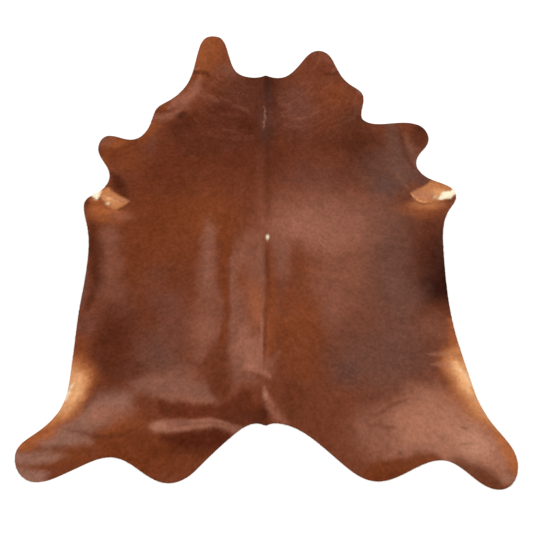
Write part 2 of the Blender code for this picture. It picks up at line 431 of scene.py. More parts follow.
# %% Colours
COLOURS = {
    "chestnut": (115, 59, 38), "rust": (134, 68, 36), "orange": (160, 88, 50),
    "umber": (84, 40, 24), "dusk": (88, 48, 37), "red brown": (98, 45, 27), "black brown": (50, 14, 2),
    "plum": (116, 71, 59), "mauve": (142, 90, 72), "rose": (160, 102, 82),
    "grey brown": (108, 72, 60), "slate": (92, 62, 55), "tan": (196, 126, 80),
    "light tan": (246, 184, 128), "pink tan": (180, 120, 95),
    "peach": (206, 150, 122), "cream": (255, 242, 210), "ash": (150, 105, 88),
    "russet": (117, 57, 29), "dark brown": (80, 33, 16), "bark": (106, 56, 36),
    "amber": (190, 108, 60), "apricot": (224, 160, 112),
}
GLOSS = np.array([0.0185, 0.0091, 0.0063])    # linear light that the hair's gloss adds
# Painted sheen: the grey below comes and goes with the coat's clouds, for the hair's changing gloss.
CLOUD_SHEEN = 0.011                                  # how much grey comes and goes with the coat's clouds


def linear(colour):
    """Screen values from 0 to 255 as linear light."""
    share = np.asarray(colour, dtype=float) / 255
    return np.where(share <= 0.04045, share / 12.92, ((share + 0.055) / 1.055) ** 2.4)


def pigment(name):
    """The linear colour of the hair below its gloss."""
    return np.clip(linear(COLOURS[name]) - GLOSS, 0.0008, None)


print("chestnut is", pigment("chestnut").round(3))

# %% [markdown]
# ## Marks of colour
#
# A hide isn't one colour: it is darker on the shoulders and belly, tan at the flanks, cream where
# the forelegs join. It is painted as a dyer would shade it, with soft dabs and soft strokes in
# named colours, each laid over the ones before. All their places are in millimetres. The marks
# also carry painted light: most of the mauve and rose ones are painted sheen, where the lying
# hair catches the light, and dark marks beside some folds are painted shade.
#
# The neck comes first. The left ear is orange, the right one red brown, and a dark band runs down
# the nape. The rose ribbons along the left jaw and shoulder edge are painted sheen.

# %% Neck marks
# reach is how far a dab goes to either side, turn is in degrees, and share is how much of the new
# colour the middle gets. A stroke has a bow and a half width, like a fold. A ribbon runs through
# knots of x, y and half width. A patch fills its corners, and soft is half its edge's width.
Dab = namedtuple("Dab", "colour x y reach_x reach_y turn share")
Stroke = namedtuple("Stroke", "colour start_x start_y end_x end_y bow half_width share")
Ribbon = namedtuple("Ribbon", "colour knots share")
Patch = namedtuple("Patch", "colour corners soft share")

NECK = [
    Dab("orange", -300, 1060, 90, 170, -6, 0.9),
    Dab("rust", -262, 1020, 90, 130, -6, 0.35),
    Dab("mauve", -170, 900, 60, 40, -40, 0.7),
    Dab("rust", -220, 810, 80, 70, 0, 0.4),
    Dab("dark brown", -205, 700, 70, 140, 0, 0.4),
    Dab("rust", -330, 690, 70, 70, 0, 0.3),
    Dab("red brown", 265, 950, 70, 60, 0, 0.3),
    Dab("mauve", 310, 1000, 40, 50, 20, 0.3),
    Dab("rust", -395, 800, 110, 34, 42, 0.4),
    Dab("russet", -505, 700, 34, 26, 20, 0.8),
    Dab("orange", -580, 570, 50, 60, -25, 0.5),
    Dab("orange", -540, 605, 30, 40, 0, 0.5),
    Dab("dusk", -60, 690, 200, 250, 0, 0.75),
    Dab("dark brown", -240, 640, 180, 90, 0, 0.45),
    Dab("umber", -90, 590, 110, 90, 0, 0.35),
    Dab("rust", 330, 760, 110, 90, -25, 0.35),
    Dab("orange", 345, 800, 60, 34, -30, 0.15),
    Dab("plum", 150, 660, 80, 150, 0, 0.7),
    Dab("mauve", 455, 790, 14, 24, 20, 0.6),
    Dab("plum", 440, 680, 30, 50, 0, 0.5),
    Dab("umber", -60, 850, 120, 90, 0, 0.35),
    Stroke("umber", 10, 990, 10, 520, 0, 90, 0.85),
    Stroke("umber", 30, 860, 34, 600, 0, 40, 0.4),
    Stroke("black brown", 6, 905, 8, 690, 2, 34, 0.62),
    Dab("umber", 425, 640, 60, 60, 0, 0.7),
    # Painted sheen: pale rose along the left jaw and the shoulder's edge.
    Ribbon("rose", [(-322, 880, 14), (-338, 820, 44), (-372, 765, 56), (-430, 735, 48), (-470, 700, 20)],
        0.65),
    Ribbon("rose", [(-548, 650, 24), (-505, 640, 40), (-455, 655, 36), (-410, 690, 24)], 0.6),
    Dab("umber", -390, 590, 66, 70, -20, 0.85),
    Dab("black brown", -408, 655, 26, 20, 20, 0.5),
    Dab("mauve", -395, 710, 34, 24, -30, 0.4),
    Dab("rust", -498, 708, 32, 24, 20, 0.7),
    Dab("orange", -300, 906, 44, 22, 0, 0.4),
    Ribbon("umber", [(-372, 903, 14), (-330, 900, 24), (-290, 894, 22), (-280, 872, 10)], 0.8),
    Ribbon("umber", [(282, 888, 8), (320, 890, 20), (360, 900, 18)], 0.75),
    Ribbon("pink tan", [(-372, 922, 8), (-330, 920, 10)], 0.3),
    Ribbon("mauve", [(-282, 728, 6), (-262, 690, 10), (-244, 676, 5)], 0.2),
    Ribbon("rose", [(-205, 580, 5), (-170, 566, 9), (-120, 556, 5)], 0.55),
    Ribbon("rose", [(104, 520, 5), (140, 540, 9), (180, 552, 6)], 0.3),
    Ribbon("mauve", [(150, 555, 5), (215, 590, 9), (290, 640, 6)], 0.3),
]

print(len(NECK), "marks on the neck")

# %% [markdown]
# The shoulders are a dark red brown, and the forelegs fade from orange to grey. One gradient along
# each leg would be simpler, but real hair changes in patches, so these are dabs too.

# %% Shoulder marks
SHOULDERS = [
    Dab("red brown", -60, 450, 420, 230, 0, 0.75),
    Dab("red brown", -480, 310, 150, 180, 0, 0.7),
    Dab("umber", -310, 490, 170, 70, 0, 0.4),
    Dab("umber", -445, 550, 50, 60, 30, 0.5),
    Dab("bark", -510, 480, 90, 60, 20, 0.2),
    Dab("plum", -545, 500, 30, 70, -10, 0.3),
    Dab("russet", -690, 480, 90, 70, 10, 0.7),
    Dab("orange", -710, 505, 60, 30, 10, 0.55),
    Dab("rust", -758, 420, 24, 60, 0, 0.6),
    Dab("rust", -640, 400, 90, 60, 0, 0.35),
    Dab("rust", -580, 570, 50, 50, -20, 0.5),
    Dab("mauve", -765, 516, 36, 32, 20, 0.55),
    # Painted shade in the notch behind the left foreleg.
    Stroke("black brown", -712, 345, -668, 245, 4, 30, 0.6),
    Dab("umber", 430, 450, 180, 160, -20, 0.92),
    Dab("umber", 420, 640, 70, 90, 0, 0.45),
    Dab("plum", 230, 320, 150, 90, 0, 0.45),
    Dab("grey brown", 560, 350, 130, 120, 0, 0.75),
    Dab("slate", 560, 265, 70, 60, 0, 0.8),
    # Partly painted sheen: the grey brown and mauve ribbons down the right foreleg lie on a bright band,
    # where its hair faces the light.
    Ribbon("grey brown", [(588, 640, 40), (604, 560, 64), (622, 440, 80), (640, 330, 80), (650, 270, 30)],
        0.75),
    Dab("grey brown", 690, 450, 56, 90, 0, 0.45),
    Dab("umber", 735, 540, 46, 70, 0, 0.7),
    Dab("mauve", 710, 380, 40, 40, 0, 0.35),
    Dab("slate", 718, 322, 70, 36, -35, 0.7),
    Ribbon("umber", [(640, 560, 10), (642, 500, 18), (655, 430, 20), (690, 370, 12)], 0.5),
    Ribbon("mauve", [(668, 560, 10), (676, 500, 20), (700, 430, 24), (716, 400, 12)], 0.4),
    Ribbon("umber", [(640, 585, 3), (644, 520, 6), (664, 430, 7), (700, 365, 4)], 0.55),
    Dab("umber", 745, 585, 30, 34, -40, 0.8),
    Dab("black brown", 740, 590, 30, 30, -40, 0.4),
    Dab("red brown", 360, 330, 60, 60, 0, 0.35),
    Dab("umber", 500, 370, 80, 90, 0, 0.25),
    Dab("chestnut", 310, 410, 80, 80, 0, 0.5),
]

print(len(SHOULDERS), "marks on the shoulders and forelegs")

# %% [markdown]
# Behind each foreleg the bare skin folds of the elbow are tan, with a cream patch at the tip. The
# cream has a clear edge, which a soft dab can't give, so it is drawn as a patch with corners. Along
# each pucker a pale mark is a painted highlight on its edge and a dark one painted shade beside it.

# %% Elbow marks
ELBOWS = [
    Dab("orange", -740, 130, 100, 50, -6, 0.75),
    Dab("orange", -775, 165, 45, 40, 0, 0.6),
    Dab("rose", -660, 118, 60, 22, -10, 0.35),
    Ribbon("amber", [(-800, 152, 12), (-745, 142, 20), (-690, 138, 12)], 0.45),
    Dab("umber", -825, 180, 12, 40, -10, 0.5),
    Dab("amber", -798, 198, 22, 12, -30, 0.5),
    # Painted shade in the notch behind the left foreleg, above the elbow.
    Ribbon("umber", [(-722, 345, 20), (-698, 300, 40), (-682, 268, 42), (-660, 238, 34), (-640, 210, 16)],
        0.75),
    Patch("tan", [(-775, 248), (-738, 266), (-706, 242), (-680, 222), (-655, 208), (-632, 193),
        (-646, 176), (-668, 160), (-692, 149), (-712, 152), (-728, 168), (-742, 186), (-765, 204),
        (-776, 222)], 8, 0.92),
    # The apricot dab and pink tan ribbon are a painted highlight on the left pucker's ridge, and the
    # umber ribbon after them is painted shade in its crease.
    Dab("apricot", -718, 198, 34, 20, -25, 0.6),
    Ribbon("pink tan", [(-700, 208, 14), (-665, 198, 12), (-634, 192, 7)], 0.7),
    Dab("light tan", -728, 203, 12, 10, 0, 0.5),
    Dab("cream", -731, 178, 8, 8, 0, 0.6),
    Ribbon("umber", [(-633, 184, 4), (-646, 170, 10), (-664, 154, 11), (-690, 142, 6)], 0.55),
    Patch("cream", [(-826, 222), (-800, 240), (-782, 249), (-768, 254), (-770, 238), (-772, 222),
        (-776, 205), (-782, 193), (-791, 206), (-800, 215), (-812, 219)], 3, 1.0),
    Dab("tan", -795, 238, 5, 4, 0, 0.9),
    Dab("orange", 735, 160, 110, 46, 4, 0.65),
    Dab("red brown", 655, 190, 40, 40, 0, 0.4),
    Patch("tan", [(672, 233), (686, 246), (708, 258), (728, 268), (752, 285), (770, 303), (880, 275),
        (884, 235), (856, 206), (830, 199), (800, 193), (775, 194), (758, 190), (735, 185), (708, 192),
        (690, 206)], 6, 0.88),
    Dab("mauve", 700, 246, 24, 14, 30, 0.45),
    Dab("pink tan", 735, 220, 50, 20, 0, 0.6),
    Dab("light tan", 805, 236, 36, 22, -10, 0.4),
    Dab("tan", 745, 178, 80, 26, 2, 0.6),
    Dab("orange", 825, 285, 50, 12, -18, 0.35),
    # Painted highlight and shade at the right pucker's tip: the light tan ribbon along its edge, and the
    # black brown one beside it.
    Ribbon("light tan", [(676, 230, 4), (690, 212, 6), (706, 197, 5), (735, 190, 5)], 0.55),
    Ribbon("black brown", [(666, 236, 3), (674, 222, 8), (688, 205, 4)], 0.55),
    Ribbon("bark", [(700, 187, 5), (722, 178, 9), (750, 182, 7), (775, 187, 4)], 0.6),
    Patch("cream", [(797, 203), (808, 221), (820, 238), (827, 242), (834, 239), (847, 245), (856, 243),
        (866, 253), (872, 264), (880, 262), (882, 240), (878, 230), (866, 219), (857, 208), (847, 206),
        (839, 209), (828, 204), (815, 200)], 3, 1.0),
    Dab("cream", 786, 215, 8, 5, 30, 0.6),
    Dab("cream", 777, 208, 5, 5, 0, 0.4),
    Dab("bark", 845, 192, 24, 12, 60, 0.6),
    Ribbon("mauve", [(606, 345, 10), (635, 300, 14), (662, 256, 10)], 0.4),
]

print(len(ELBOWS), "marks on the elbows")

# %% [markdown]
# Along the body the coat falls in bands beside the backbone: pale mauve and rose bands, which are
# painted sheen where the lying hair catches the light, and orange brown between. The broad
# rose, mauve and grey brown dabs over the right half are painted sheen too. Most bands are
# ribbons, whose width changes from knot to knot.

# %% Body marks
BODY = [
    Dab("russet", -330, 80, 260, 220, 0, 0.65),
    Dab("rust", -270, 110, 150, 110, 0, 0.45),
    Dab("russet", -540, 20, 130, 260, 0, 0.55),
    Dab("plum", -490, -200, 60, 90, 0, 0.3),
    Dab("plum", -440, -310, 90, 60, 0, 0.45),
    Dab("plum", -610, -380, 60, 60, 0, 0.4),
    Dab("bark", -560, -420, 150, 140, 0, 0.45),
    Dab("grey brown", -480, -560, 90, 90, 0, 0.6),
    Dab("plum", -400, -420, 80, 110, 0, 0.4),
    Dab("grey brown", -390, -600, 70, 50, 0, 0.5),
    # Painted sheen: the broad rose, mauve and grey brown dabs below, where the right half faces the
    # light.
    Dab("rose", 210, 70, 230, 110, 0, 0.85),
    Dab("mauve", 380, 110, 200, 150, 0, 0.6),
    Dab("mauve", 180, 200, 190, 70, 0, 0.4),
    Dab("mauve", 330, -180, 190, 240, 0, 0.55),
    Dab("grey brown", 590, -150, 130, 400, 0, 0.8),
    Dab("grey brown", 500, -560, 240, 160, 0, 0.7),
    Dab("slate", 350, -620, 60, 60, 0, 0.45),
    Dab("rose", 280, -30, 80, 50, 0, 0.45),
    # Painted sheen: the mauve and rose bands down the left of the backbone.
    Ribbon("mauve", [(-262, 60, 40), (-262, -30, 60), (-262, -200, 72), (-246, -300, 88),
        (-264, -400, 130), (-278, -480, 110), (-290, -560, 40)], 0.6),
    Dab("mauve", -262, 30, 34, 90, 0, 0.3),
    Dab("mauve", -258, -160, 28, 160, 0, 0.45),
    Dab("rose", -240, -440, 50, 60, 0, 0.3),
    Ribbon("russet", [(-190, 80, 20), (-186, 0, 46), (-182, -240, 46), (-168, -340, 22), (-176, -420, 20),
        (-202, -500, 30), (-216, -560, 60), (-200, -620, 70)], 0.9),
    Patch("mauve", [(-96, 50), (-140, -40), (-155, -120), (-152, -300), (-156, -420), (-166, -500),
        (-150, -600), (-10, -640), (-6, -200), (-10, 30)], 24, 0.6),
    Dab("rust", -104, -190, 26, 60, 0, 0.6),
    Dab("rust", -80, -280, 26, 70, 0, 0.35),
    Dab("orange", -44, -330, 36, 150, 0, 0.4),
    Ribbon("mauve", [(-146, -60, 8), (-144, -300, 16), (-140, -420, 34), (-120, -520, 60)], 0.55),
    Ribbon("mauve", [(-26, -20, 16), (-24, -140, 40), (-28, -220, 14)], 0.6),
    Ribbon("rose", [(-96, -430, 40), (-84, -510, 90), (-50, -600, 110)], 0.7),
    Dab("mauve", -100, -600, 60, 60, 0, 0.45),
    Ribbon("rust", [(24, -60, 14), (28, -200, 34), (26, -380, 40), (20, -520, 30)], 0.75),
    Ribbon("orange", [(8, -380, 8), (8, -460, 22), (6, -560, 12)], 0.3),
    Dab("mauve", 72, -70, 46, 140, 0, 0.65),
    Dab("rust", 190, -130, 60, 80, 0, 0.3),
    Patch("russet", [(110, 4), (160, 0), (172, -60), (184, -180), (214, -280), (250, -400), (240, -660),
        (80, -660), (52, -400), (84, -280), (108, -180)], 14, 0.42),
    Dab("russet", 170, -380, 110, 260, 0, 0.12),
    Dab("rust", 150, -420, 100, 160, 0, 0.5),
    Dab("mauve", 290, -350, 50, 90, 0, 0.4),
    Stroke("mauve", -34, 560, -30, 90, 0, 30, 0.16),
    Dab("slate", 130, 300, 60, 12, 6, 0.25),
]

print(len(BODY), "marks on the body")

# %% [markdown]
# The parting on the backbone is a thin dark line with a pale nape, and it turns red towards the
# tail. In the middle of the back there is one small cream spot. Beside the parting on the tail
# half, a rose strip is painted sheen.

# %% Backbone marks
BACKBONE = [
    Dab("umber", -30, 590, 120, 80, 0, 0.5),
    Dab("umber", 0, 560, 60, 80, 0, 0.6),
    Dab("slate", 0, 640, 40, 160, 0, 0.4),
    Stroke("umber", 8, 770, 8, 560, 0, 30, 0.45),
    Stroke("umber", 10, 560, 8, 30, 0, 22, 0.42),
    Stroke("red brown", 10, 40, 10, -330, -3, 24, 0.4),
    Stroke("umber", 4, 10, 4, -300, 0, 6, 0.35),
    Stroke("red brown", -2, -250, -6, -620, 0, 12, 0.5),
    # Painted sheen beside the parting.
    Stroke("rose", -20, -330, -18, -600, 0, 8, 0.6),
    Ribbon("peach", [(-14, 702, 2), (-5, 682, 5), (-10, 660, 4), (-3, 642, 6), (-12, 616, 6),
        (-7, 600, 3), (-13, 584, 2)], 0.38),
    Dab("cream", 8, 10, 7, 12, 0, 1.0),
]

print(len(BACKBONE), "marks on the backbone")

# %% [markdown]
# The belly hair at both sides of the waist is nearly black on one side and streaked on the other.
# Below it both flanks turn tan, and almost cream where the skin of the groin was bare. On the left
# flank the cream is partly a painted highlight on the crest of the swell.

# %% Flank marks
FLANKS = [
    Dab("umber", 800, -100, 170, 250, 0, 0.8),
    Dab("black brown", 806, -90, 105, 140, 0, 0.66),
    Dab("red brown", 720, 0, 50, 70, 0, 0.35),
    Dab("umber", 735, -240, 90, 74, 0, 0.5),
    Dab("black brown", 800, -225, 122, 92, 0, 0.92),
    Dab("grey brown", 640, -270, 70, 70, 0, 0.4),
    Dab("mauve", 745, -420, 60, 60, 0, 0.35),
    Ribbon("umber", [(-798, 80, 30), (-780, 10, 54), (-764, -60, 64), (-754, -130, 64), (-748, -195, 60),
        (-764, -260, 44), (-780, -330, 24)], 0.75),
    Ribbon("black brown", [(-800, 30, 16), (-784, -60, 24), (-766, -150, 24), (-754, -220, 16)], 0.25),
    Ribbon("plum", [(-815, -110, 14), (-810, -160, 24), (-808, -230, 34), (-816, -320, 20)], 0.85),
    Dab("plum", -670, -300, 90, 80, 0, 0.35),
    Dab("mauve", -706, 10, 50, 70, 0, 0.6),
    Dab("mauve", -690, -120, 50, 80, 0, 0.45),
    Dab("mauve", -685, -225, 60, 60, 0, 0.35),
    Dab("plum", -780, -400, 60, 60, 0, 0.45),
    Dab("umber", -672, -500, 82, 180, -4, 0.85),
    Dab("red brown", -600, -520, 100, 150, 0, 0.55),
    Dab("grey brown", -480, -500, 110, 90, 0, 0.3),
    Dab("dusk", -600, -610, 70, 50, 0, 0.45),
    Dab("rust", -800, -500, 40, 50, 0, 0.35),
    Patch("orange", [(-860, -540), (-790, -545), (-745, -600), (-722, -660), (-732, -710), (-762, -765),
        (-815, -825), (-890, -880), (-960, -910), (-940, -800)], 30, 0.85),
    Patch("tan", [(-870, -575), (-800, -575), (-760, -620), (-748, -670), (-762, -730), (-800, -785),
        (-850, -832), (-930, -860), (-930, -780)], 24, 0.85),
    Patch("apricot", [(-880, -620), (-815, -610), (-776, -640), (-770, -690), (-784, -735), (-826, -776),
        (-880, -800)], 24, 0.85),
    Ribbon("light tan", [(-805, -650, 20), (-800, -700, 30), (-822, -745, 20)], 0.45),
    # Partly painted highlight: pale groin hair, brightest where the left flank swell faces the light.
    Ribbon("cream", [(-822, -672, 6), (-838, -710, 14), (-850, -742, 8)], 0.85),
    Ribbon("umber", [(-725, -670, 24), (-732, -730, 30), (-765, -785, 16)], 0.3),
    Ribbon("orange", [(802, -390, 20), (812, -450, 34), (824, -510, 44)], 0.75),
    Patch("orange", [(880, -440), (806, -465), (762, -520), (745, -580), (758, -650), (782, -700),
        (812, -745), (856, -800), (912, -850), (965, -900), (1010, -900), (980, -800)], 34, 0.8),
    Patch("tan", [(880, -480), (806, -505), (768, -540), (760, -600), (778, -655), (808, -710),
        (846, -765), (890, -820), (945, -868), (1000, -890), (980, -800)], 26, 0.85),
    Patch("apricot", [(900, -560), (828, -580), (800, -606), (802, -640), (824, -684), (852, -724),
        (886, -770), (930, -820), (978, -876), (980, -780)], 20, 0.62),
    Ribbon("light tan", [(806, -584, 24), (828, -616, 48), (848, -654, 44), (872, -704, 20)], 0.8),
    Ribbon("cream", [(830, -604, 6), (850, -640, 12), (868, -680, 6)], 0.35),
    Ribbon("pink tan", [(698, -540, 6), (750, -542, 22), (800, -546, 24)], 0.38),
    Ribbon("pink tan", [(708, -586, 6), (746, -588, 24), (790, -594, 28)], 0.38),
    Dab("bark", 762, -664, 20, 40, 14, 0.55),
    Dab("light tan", 812, -598, 26, 34, 0, 0.35),
]

print(len(FLANKS), "marks on the flanks")

# %% [markdown]
# The hind legs are pale and worn, grey on the left and pink on the right, with old scratches. Broad
# patches give the worn hair, and narrow brown ribbons the scratches. The rose dabs on the left leg
# are painted highlights, where its folds catch the light.

# %% Hind leg marks
HIND_LEGS = [
    Dab("russet", -540, -970, 260, 120, 6, 0.9),
    Dab("rust", -610, -835, 110, 60, 0, 0.8),
    Dab("rust", -850, -960, 160, 70, 20, 0.8),
    Patch("ash", [(-900, -890), (-830, -825), (-770, -765), (-715, -725), (-640, -700), (-560, -715),
        (-570, -775), (-645, -800), (-670, -845), (-730, -890), (-800, -895)], 40, 0.82),
    # Painted highlights on the left thigh.
    Dab("rose", -700, -798, 60, 40, 40, 0.75),
    Dab("rose", -620, -800, 80, 40, 10, 0.35),
    Dab("bark", -615, -690, 70, 40, 10, 0.4),
    Patch("ash", [(-960, -930), (-890, -876), (-830, -866), (-785, -888), (-715, -925), (-800, -940),
        (-860, -942), (-920, -948)], 28, 0.95),
    # Painted highlight.
    Dab("rose", -890, -893, 60, 22, 35, 0.7),
    Patch("ash", [(-1060, -960), (-960, -960), (-900, -955), (-830, -980), (-870, -1008), (-960, -1012),
        (-1050, -1010)], 26, 0.85),
    Patch("ash", [(-1040, -1026), (-960, -1034), (-885, -1050), (-920, -1105), (-1010, -1095)], 22, 0.9),
    Ribbon("amber", [(-870, -836, 22), (-930, -880, 40), (-985, -914, 42), (-1034, -946, 30)], 0.65),
    Dab("orange", -985, -944, 46, 18, 8, 0.7),
    Ribbon("umber", [(-835, -866, 8), (-775, -880, 16), (-720, -896, 22), (-660, -902, 24),
        (-600, -888, 20), (-540, -862, 12)], 0.55),
    Ribbon("bark", [(-970, -952, 10), (-900, -944, 22), (-850, -950, 26), (-780, -956, 28),
        (-700, -966, 20)], 0.5),
    Ribbon("russet", [(-975, -1022, 12), (-900, -1022, 24), (-830, -1010, 20)], 0.6),
    Dab("pink tan", 730, -890, 290, 150, 6, 0.9),
    Dab("pink tan", 690, -730, 110, 60, 0, 0.5),
    Dab("pink tan", 860, -880, 200, 130, -40, 0.55),
    Dab("orange", 790, -740, 60, 30, -30, 0.3),
    Dab("peach", 870, -930, 90, 56, -30, 0.5),
    Dab("pink tan", 560, -800, 90, 50, 0, 0.4),
    Dab("tan", 880, -800, 60, 44, -40, 0.3),
    Dab("mauve", 450, -860, 100, 110, 0, 0.6),
    Dab("mauve", 710, -900, 60, 60, 0, 0.3),
    Dab("mauve", 600, -960, 90, 30, 6, 0.45),
    Dab("pink tan", 945, -1010, 60, 60, 40, 0.6),
    Patch("russet", [(400, -1028), (500, -998), (560, -982), (610, -970), (660, -966), (725, -980),
        (740, -1005), (560, -1070), (500, -1090), (400, -1090)], 16, 0.92),
    Dab("dark brown", 500, -1062, 60, 16, 10, 0.35),
    Patch("bark", [(750, -980), (815, -986), (865, -1012), (925, -1048), (962, -1082), (940, -1125),
        (850, -1085), (780, -1020)], 20, 0.75),
    Ribbon("amber", [(955, -870, 20), (990, -918, 44), (1014, -965, 66), (1024, -1010, 54),
        (1028, -1045, 24)], 0.7),
    Dab("peach", 992, -1072, 34, 22, 0, 0.35),
    Ribbon("red brown", [(440, -812, 8), (505, -786, 14), (528, -768, 18), (555, -758, 18),
        (590, -742, 9)], 0.6),
    Ribbon("umber", [(508, -784, 4), (535, -768, 9), (572, -750, 5)], 0.45),
    Ribbon("red brown", [(425, -852, 12), (470, -850, 16), (510, -862, 18), (545, -858, 10)], 0.45),
    Ribbon("umber", [(808, -856, 4), (828, -862, 7), (850, -867, 4)], 0.45),
    Ribbon("bark", [(804, -930, 6), (828, -928, 9), (857, -930, 6)], 0.5),
    Dab("umber", 553, -966, 13, 10, 20, 0.5),
]

print(len(HIND_LEGS), "marks on the hind legs")

# %% [markdown]
# The rump carries the largest fold, a pale roll between two dark hollows, and the tail's root is
# dark. The lamps alone don't shade the roll enough, so its light and shade are painted: pale
# patches and ribbons are painted highlights on the roll and on the small crests by the tail, and
# the dark patches above and below the roll are painted shade.

# %% Rump marks
RUMP = [
    # Painted sheen on the upper side of the rump hollow: the mauve patch and the ash and rose ribbons.
    Patch("mauve", [(-580, -660), (-500, -625), (-420, -605), (-340, -590), (-285, -615), (-255, -670),
        (-228, -720), (-205, -748), (-265, -758), (-330, -746), (-400, -738), (-455, -730), (-540, -705)],
        36, 0.5),
    Ribbon("ash", [(-540, -670, 50), (-450, -690, 84), (-360, -690, 84), (-290, -706, 70),
        (-228, -742, 24)], 0.35),
    Ribbon("rose", [(-440, -726, 20), (-340, -734, 36), (-240, -742, 24)], 0.4),
    Patch("bark", [(-262, -560), (-235, -500), (-190, -500), (-168, -560), (-170, -640), (-178, -700),
        (-195, -730), (-225, -712), (-252, -650)], 26, 0.55),
    Dab("red brown", -212, -670, 34, 50, 6, 0.7),
    # Painted shade: the dark hollow above the roll.
    Patch("red brown", [(-460, -746), (-400, -749), (-330, -758), (-260, -769), (-200, -766),
        (-150, -752), (-116, -705), (-84, -702), (-50, -758), (-10, -775), (20, -780), (20, -850),
        (-120, -860), (-230, -822), (-330, -827), (-400, -822), (-460, -806)], 16, 0.88),
    Dab("umber", -60, -810, 70, 30, 0, 0.55),
    # Painted highlight on the roll: its pale crest and lit edges, with a darker line between them.
    Patch("mauve", [(-486, -858), (-470, -836), (-420, -826), (-340, -829), (-270, -826), (-225, -823),
        (-180, -834), (-130, -850), (-85, -860), (-120, -890), (-165, -874), (-200, -863), (-240, -862),
        (-300, -872), (-360, -880), (-420, -883), (-468, -878)], 9, 0.92),
    Dab("pink tan", -446, -857, 44, 22, 0, 0.65),
    Ribbon("pink tan", [(-430, -873, 11), (-360, -871, 13), (-300, -864, 11), (-240, -854, 9),
        (-170, -858, 7)], 0.5),
    Ribbon("pink tan", [(-310, -836, 8), (-262, -832, 12), (-225, -830, 12), (-160, -846, 9)], 0.4),
    Ribbon("bark", [(-330, -850, 6), (-270, -844, 8), (-220, -842, 7), (-150, -858, 5)], 0.35),
    # Painted shadow below the roll.
    Patch("dark brown", [(-445, -888), (-360, -885), (-300, -877), (-240, -867), (-200, -867),
        (-165, -878), (-120, -890), (-180, -940), (-260, -940), (-330, -940), (-400, -928), (-450, -908)],
        18, 0.8),
    Dab("dark brown", -320, -950, 160, 34, 4, 0.5),
    Ribbon("umber", [(-5, -736, 10), (-3, -780, 22), (-8, -812, 34), (-12, -845, 46)], 0.8),
    Dab("black brown", -4, -800, 8, 22, 0, 0.35),
    # Painted highlights and shade of the small crests by the tail root: rose on their lit sides, bark
    # below them.
    Patch("rose", [(-100, -470), (-17, -470), (-15, -594), (-40, -604), (-90, -590)], 8, 0.5),
    Ribbon("rose", [(-90, -592, 16), (-40, -608, 26), (0, -632, 26), (18, -650, 14)], 0.85),
    Ribbon("bark", [(-84, -622, 10), (-40, -636, 20), (0, -656, 22), (36, -676, 12)], 0.7),
    Ribbon("rose", [(60, -530, 14), (24, -572, 26), (-4, -612, 20)], 0.3),
    Ribbon("mauve", [(-120, -560, 30), (-130, -700, 30)], 0.4),
    Ribbon("rose", [(-8, -692, 16), (0, -725, 26), (16, -762, 34), (42, -798, 40), (80, -840, 30)], 0.7),
    Dab("peach", -3, -722, 10, 16, 10, 0.4),
    Dab("red brown", 105, -710, 50, 70, 0, 0.5),
    Dab("bark", 130, -790, 80, 40, -15, 0.5),
]

MARKS = NECK + SHOULDERS + BODY + HIND_LEGS + FLANKS + RUMP + BACKBONE + ELBOWS
print(len(RUMP), "marks on the rump, and", len(MARKS), "in all")

# %% [markdown]
# ## How a mark covers the coat
#
# Where two colours meet on a hide, their hairs lie over each other, so every mark is strongest in
# its middle and fades into the coat. Strokes use the folds' soft band, and the three others have
# fades of their own. Each is worked out for all the points at once.

# %% Mark shapes
def dab_share(points, dab):
    """How strongly one dab covers each point: its share times exp(-r^3), r being 1 at its reach."""
    turn = math.radians(dab.turn)
    offset = points - np.array([dab.x, dab.y]) * MM
    along = (offset[:, 0] * math.cos(turn) + offset[:, 1] * math.sin(turn)) / (dab.reach_x * MM)
    beside = (offset[:, 1] * math.cos(turn) - offset[:, 0] * math.sin(turn)) / (dab.reach_y * MM)
    return dab.share * np.exp(-(along ** 2 + beside ** 2) ** 1.5)


def ribbon_share(points, knots):
    """A soft line through the knots: (1 - (d / half width)^2)^2, with widths blended along it."""
    places = np.array(knots) * MM
    best = np.zeros(len(points))
    for start, end in zip(places[:-1], places[1:]):
        side = end[:2] - start[:2]
        along = np.clip((points - start[:2]) @ side / (side @ side), 0, 1)
        away = np.linalg.norm(points - start[:2] - along[:, None] * side, axis=1)
        half = start[2] + (end[2] - start[2]) * along
        best = np.maximum(best, np.clip(1 - (away / half) ** 2, 0, None) ** 2)
    return best


def patch_share(points, corners, soft):
    """1 inside the corners and 0 outside, with an edge that rises as 3f^2 - 2f^3."""
    ring = np.array(corners) * MM
    share = np.zeros(len(points))
    low, high = ring.min(axis=0) - soft * MM, ring.max(axis=0) + soft * MM
    near = ((points > low) & (points < high)).all(axis=1)
    signed = np.where(inside(points[near], ring), 1, -1) * from_ring(points[near], ring)
    f = np.clip(0.5 + signed / (2 * soft * MM), 0, 1)
    share[near] = f * f * (3 - 2 * f)
    return share


middle_and_reach = dab_share(np.array([[0, 0], [0.03, 0]]), Dab("rust", 0, 0, 30, 30, 0, 1.0))
print("a dab's share in its middle and at its reach:", middle_and_reach.round(2))

# %% [markdown]
# ## Worn and broken edges
#
# Marks with clean edges would look like spots of paint. So the place where each mark is looked up
# is shifted by small random bumps: more for the broad marks, and hardly at all for the fine ones.

# %% Share of a mark
# Broad marks get broken edges. These are in millimetres.
BROAD_DAB = 30             # both reaches of a broad dab are at least this
BROAD_RIBBON = 40          # somewhere a broad ribbon's half width is more than this
SOFT_PATCH = 15            # a soft patch is at least this soft
STROKE_FADE = 0.3          # share of a stroke's length over which each end dies away


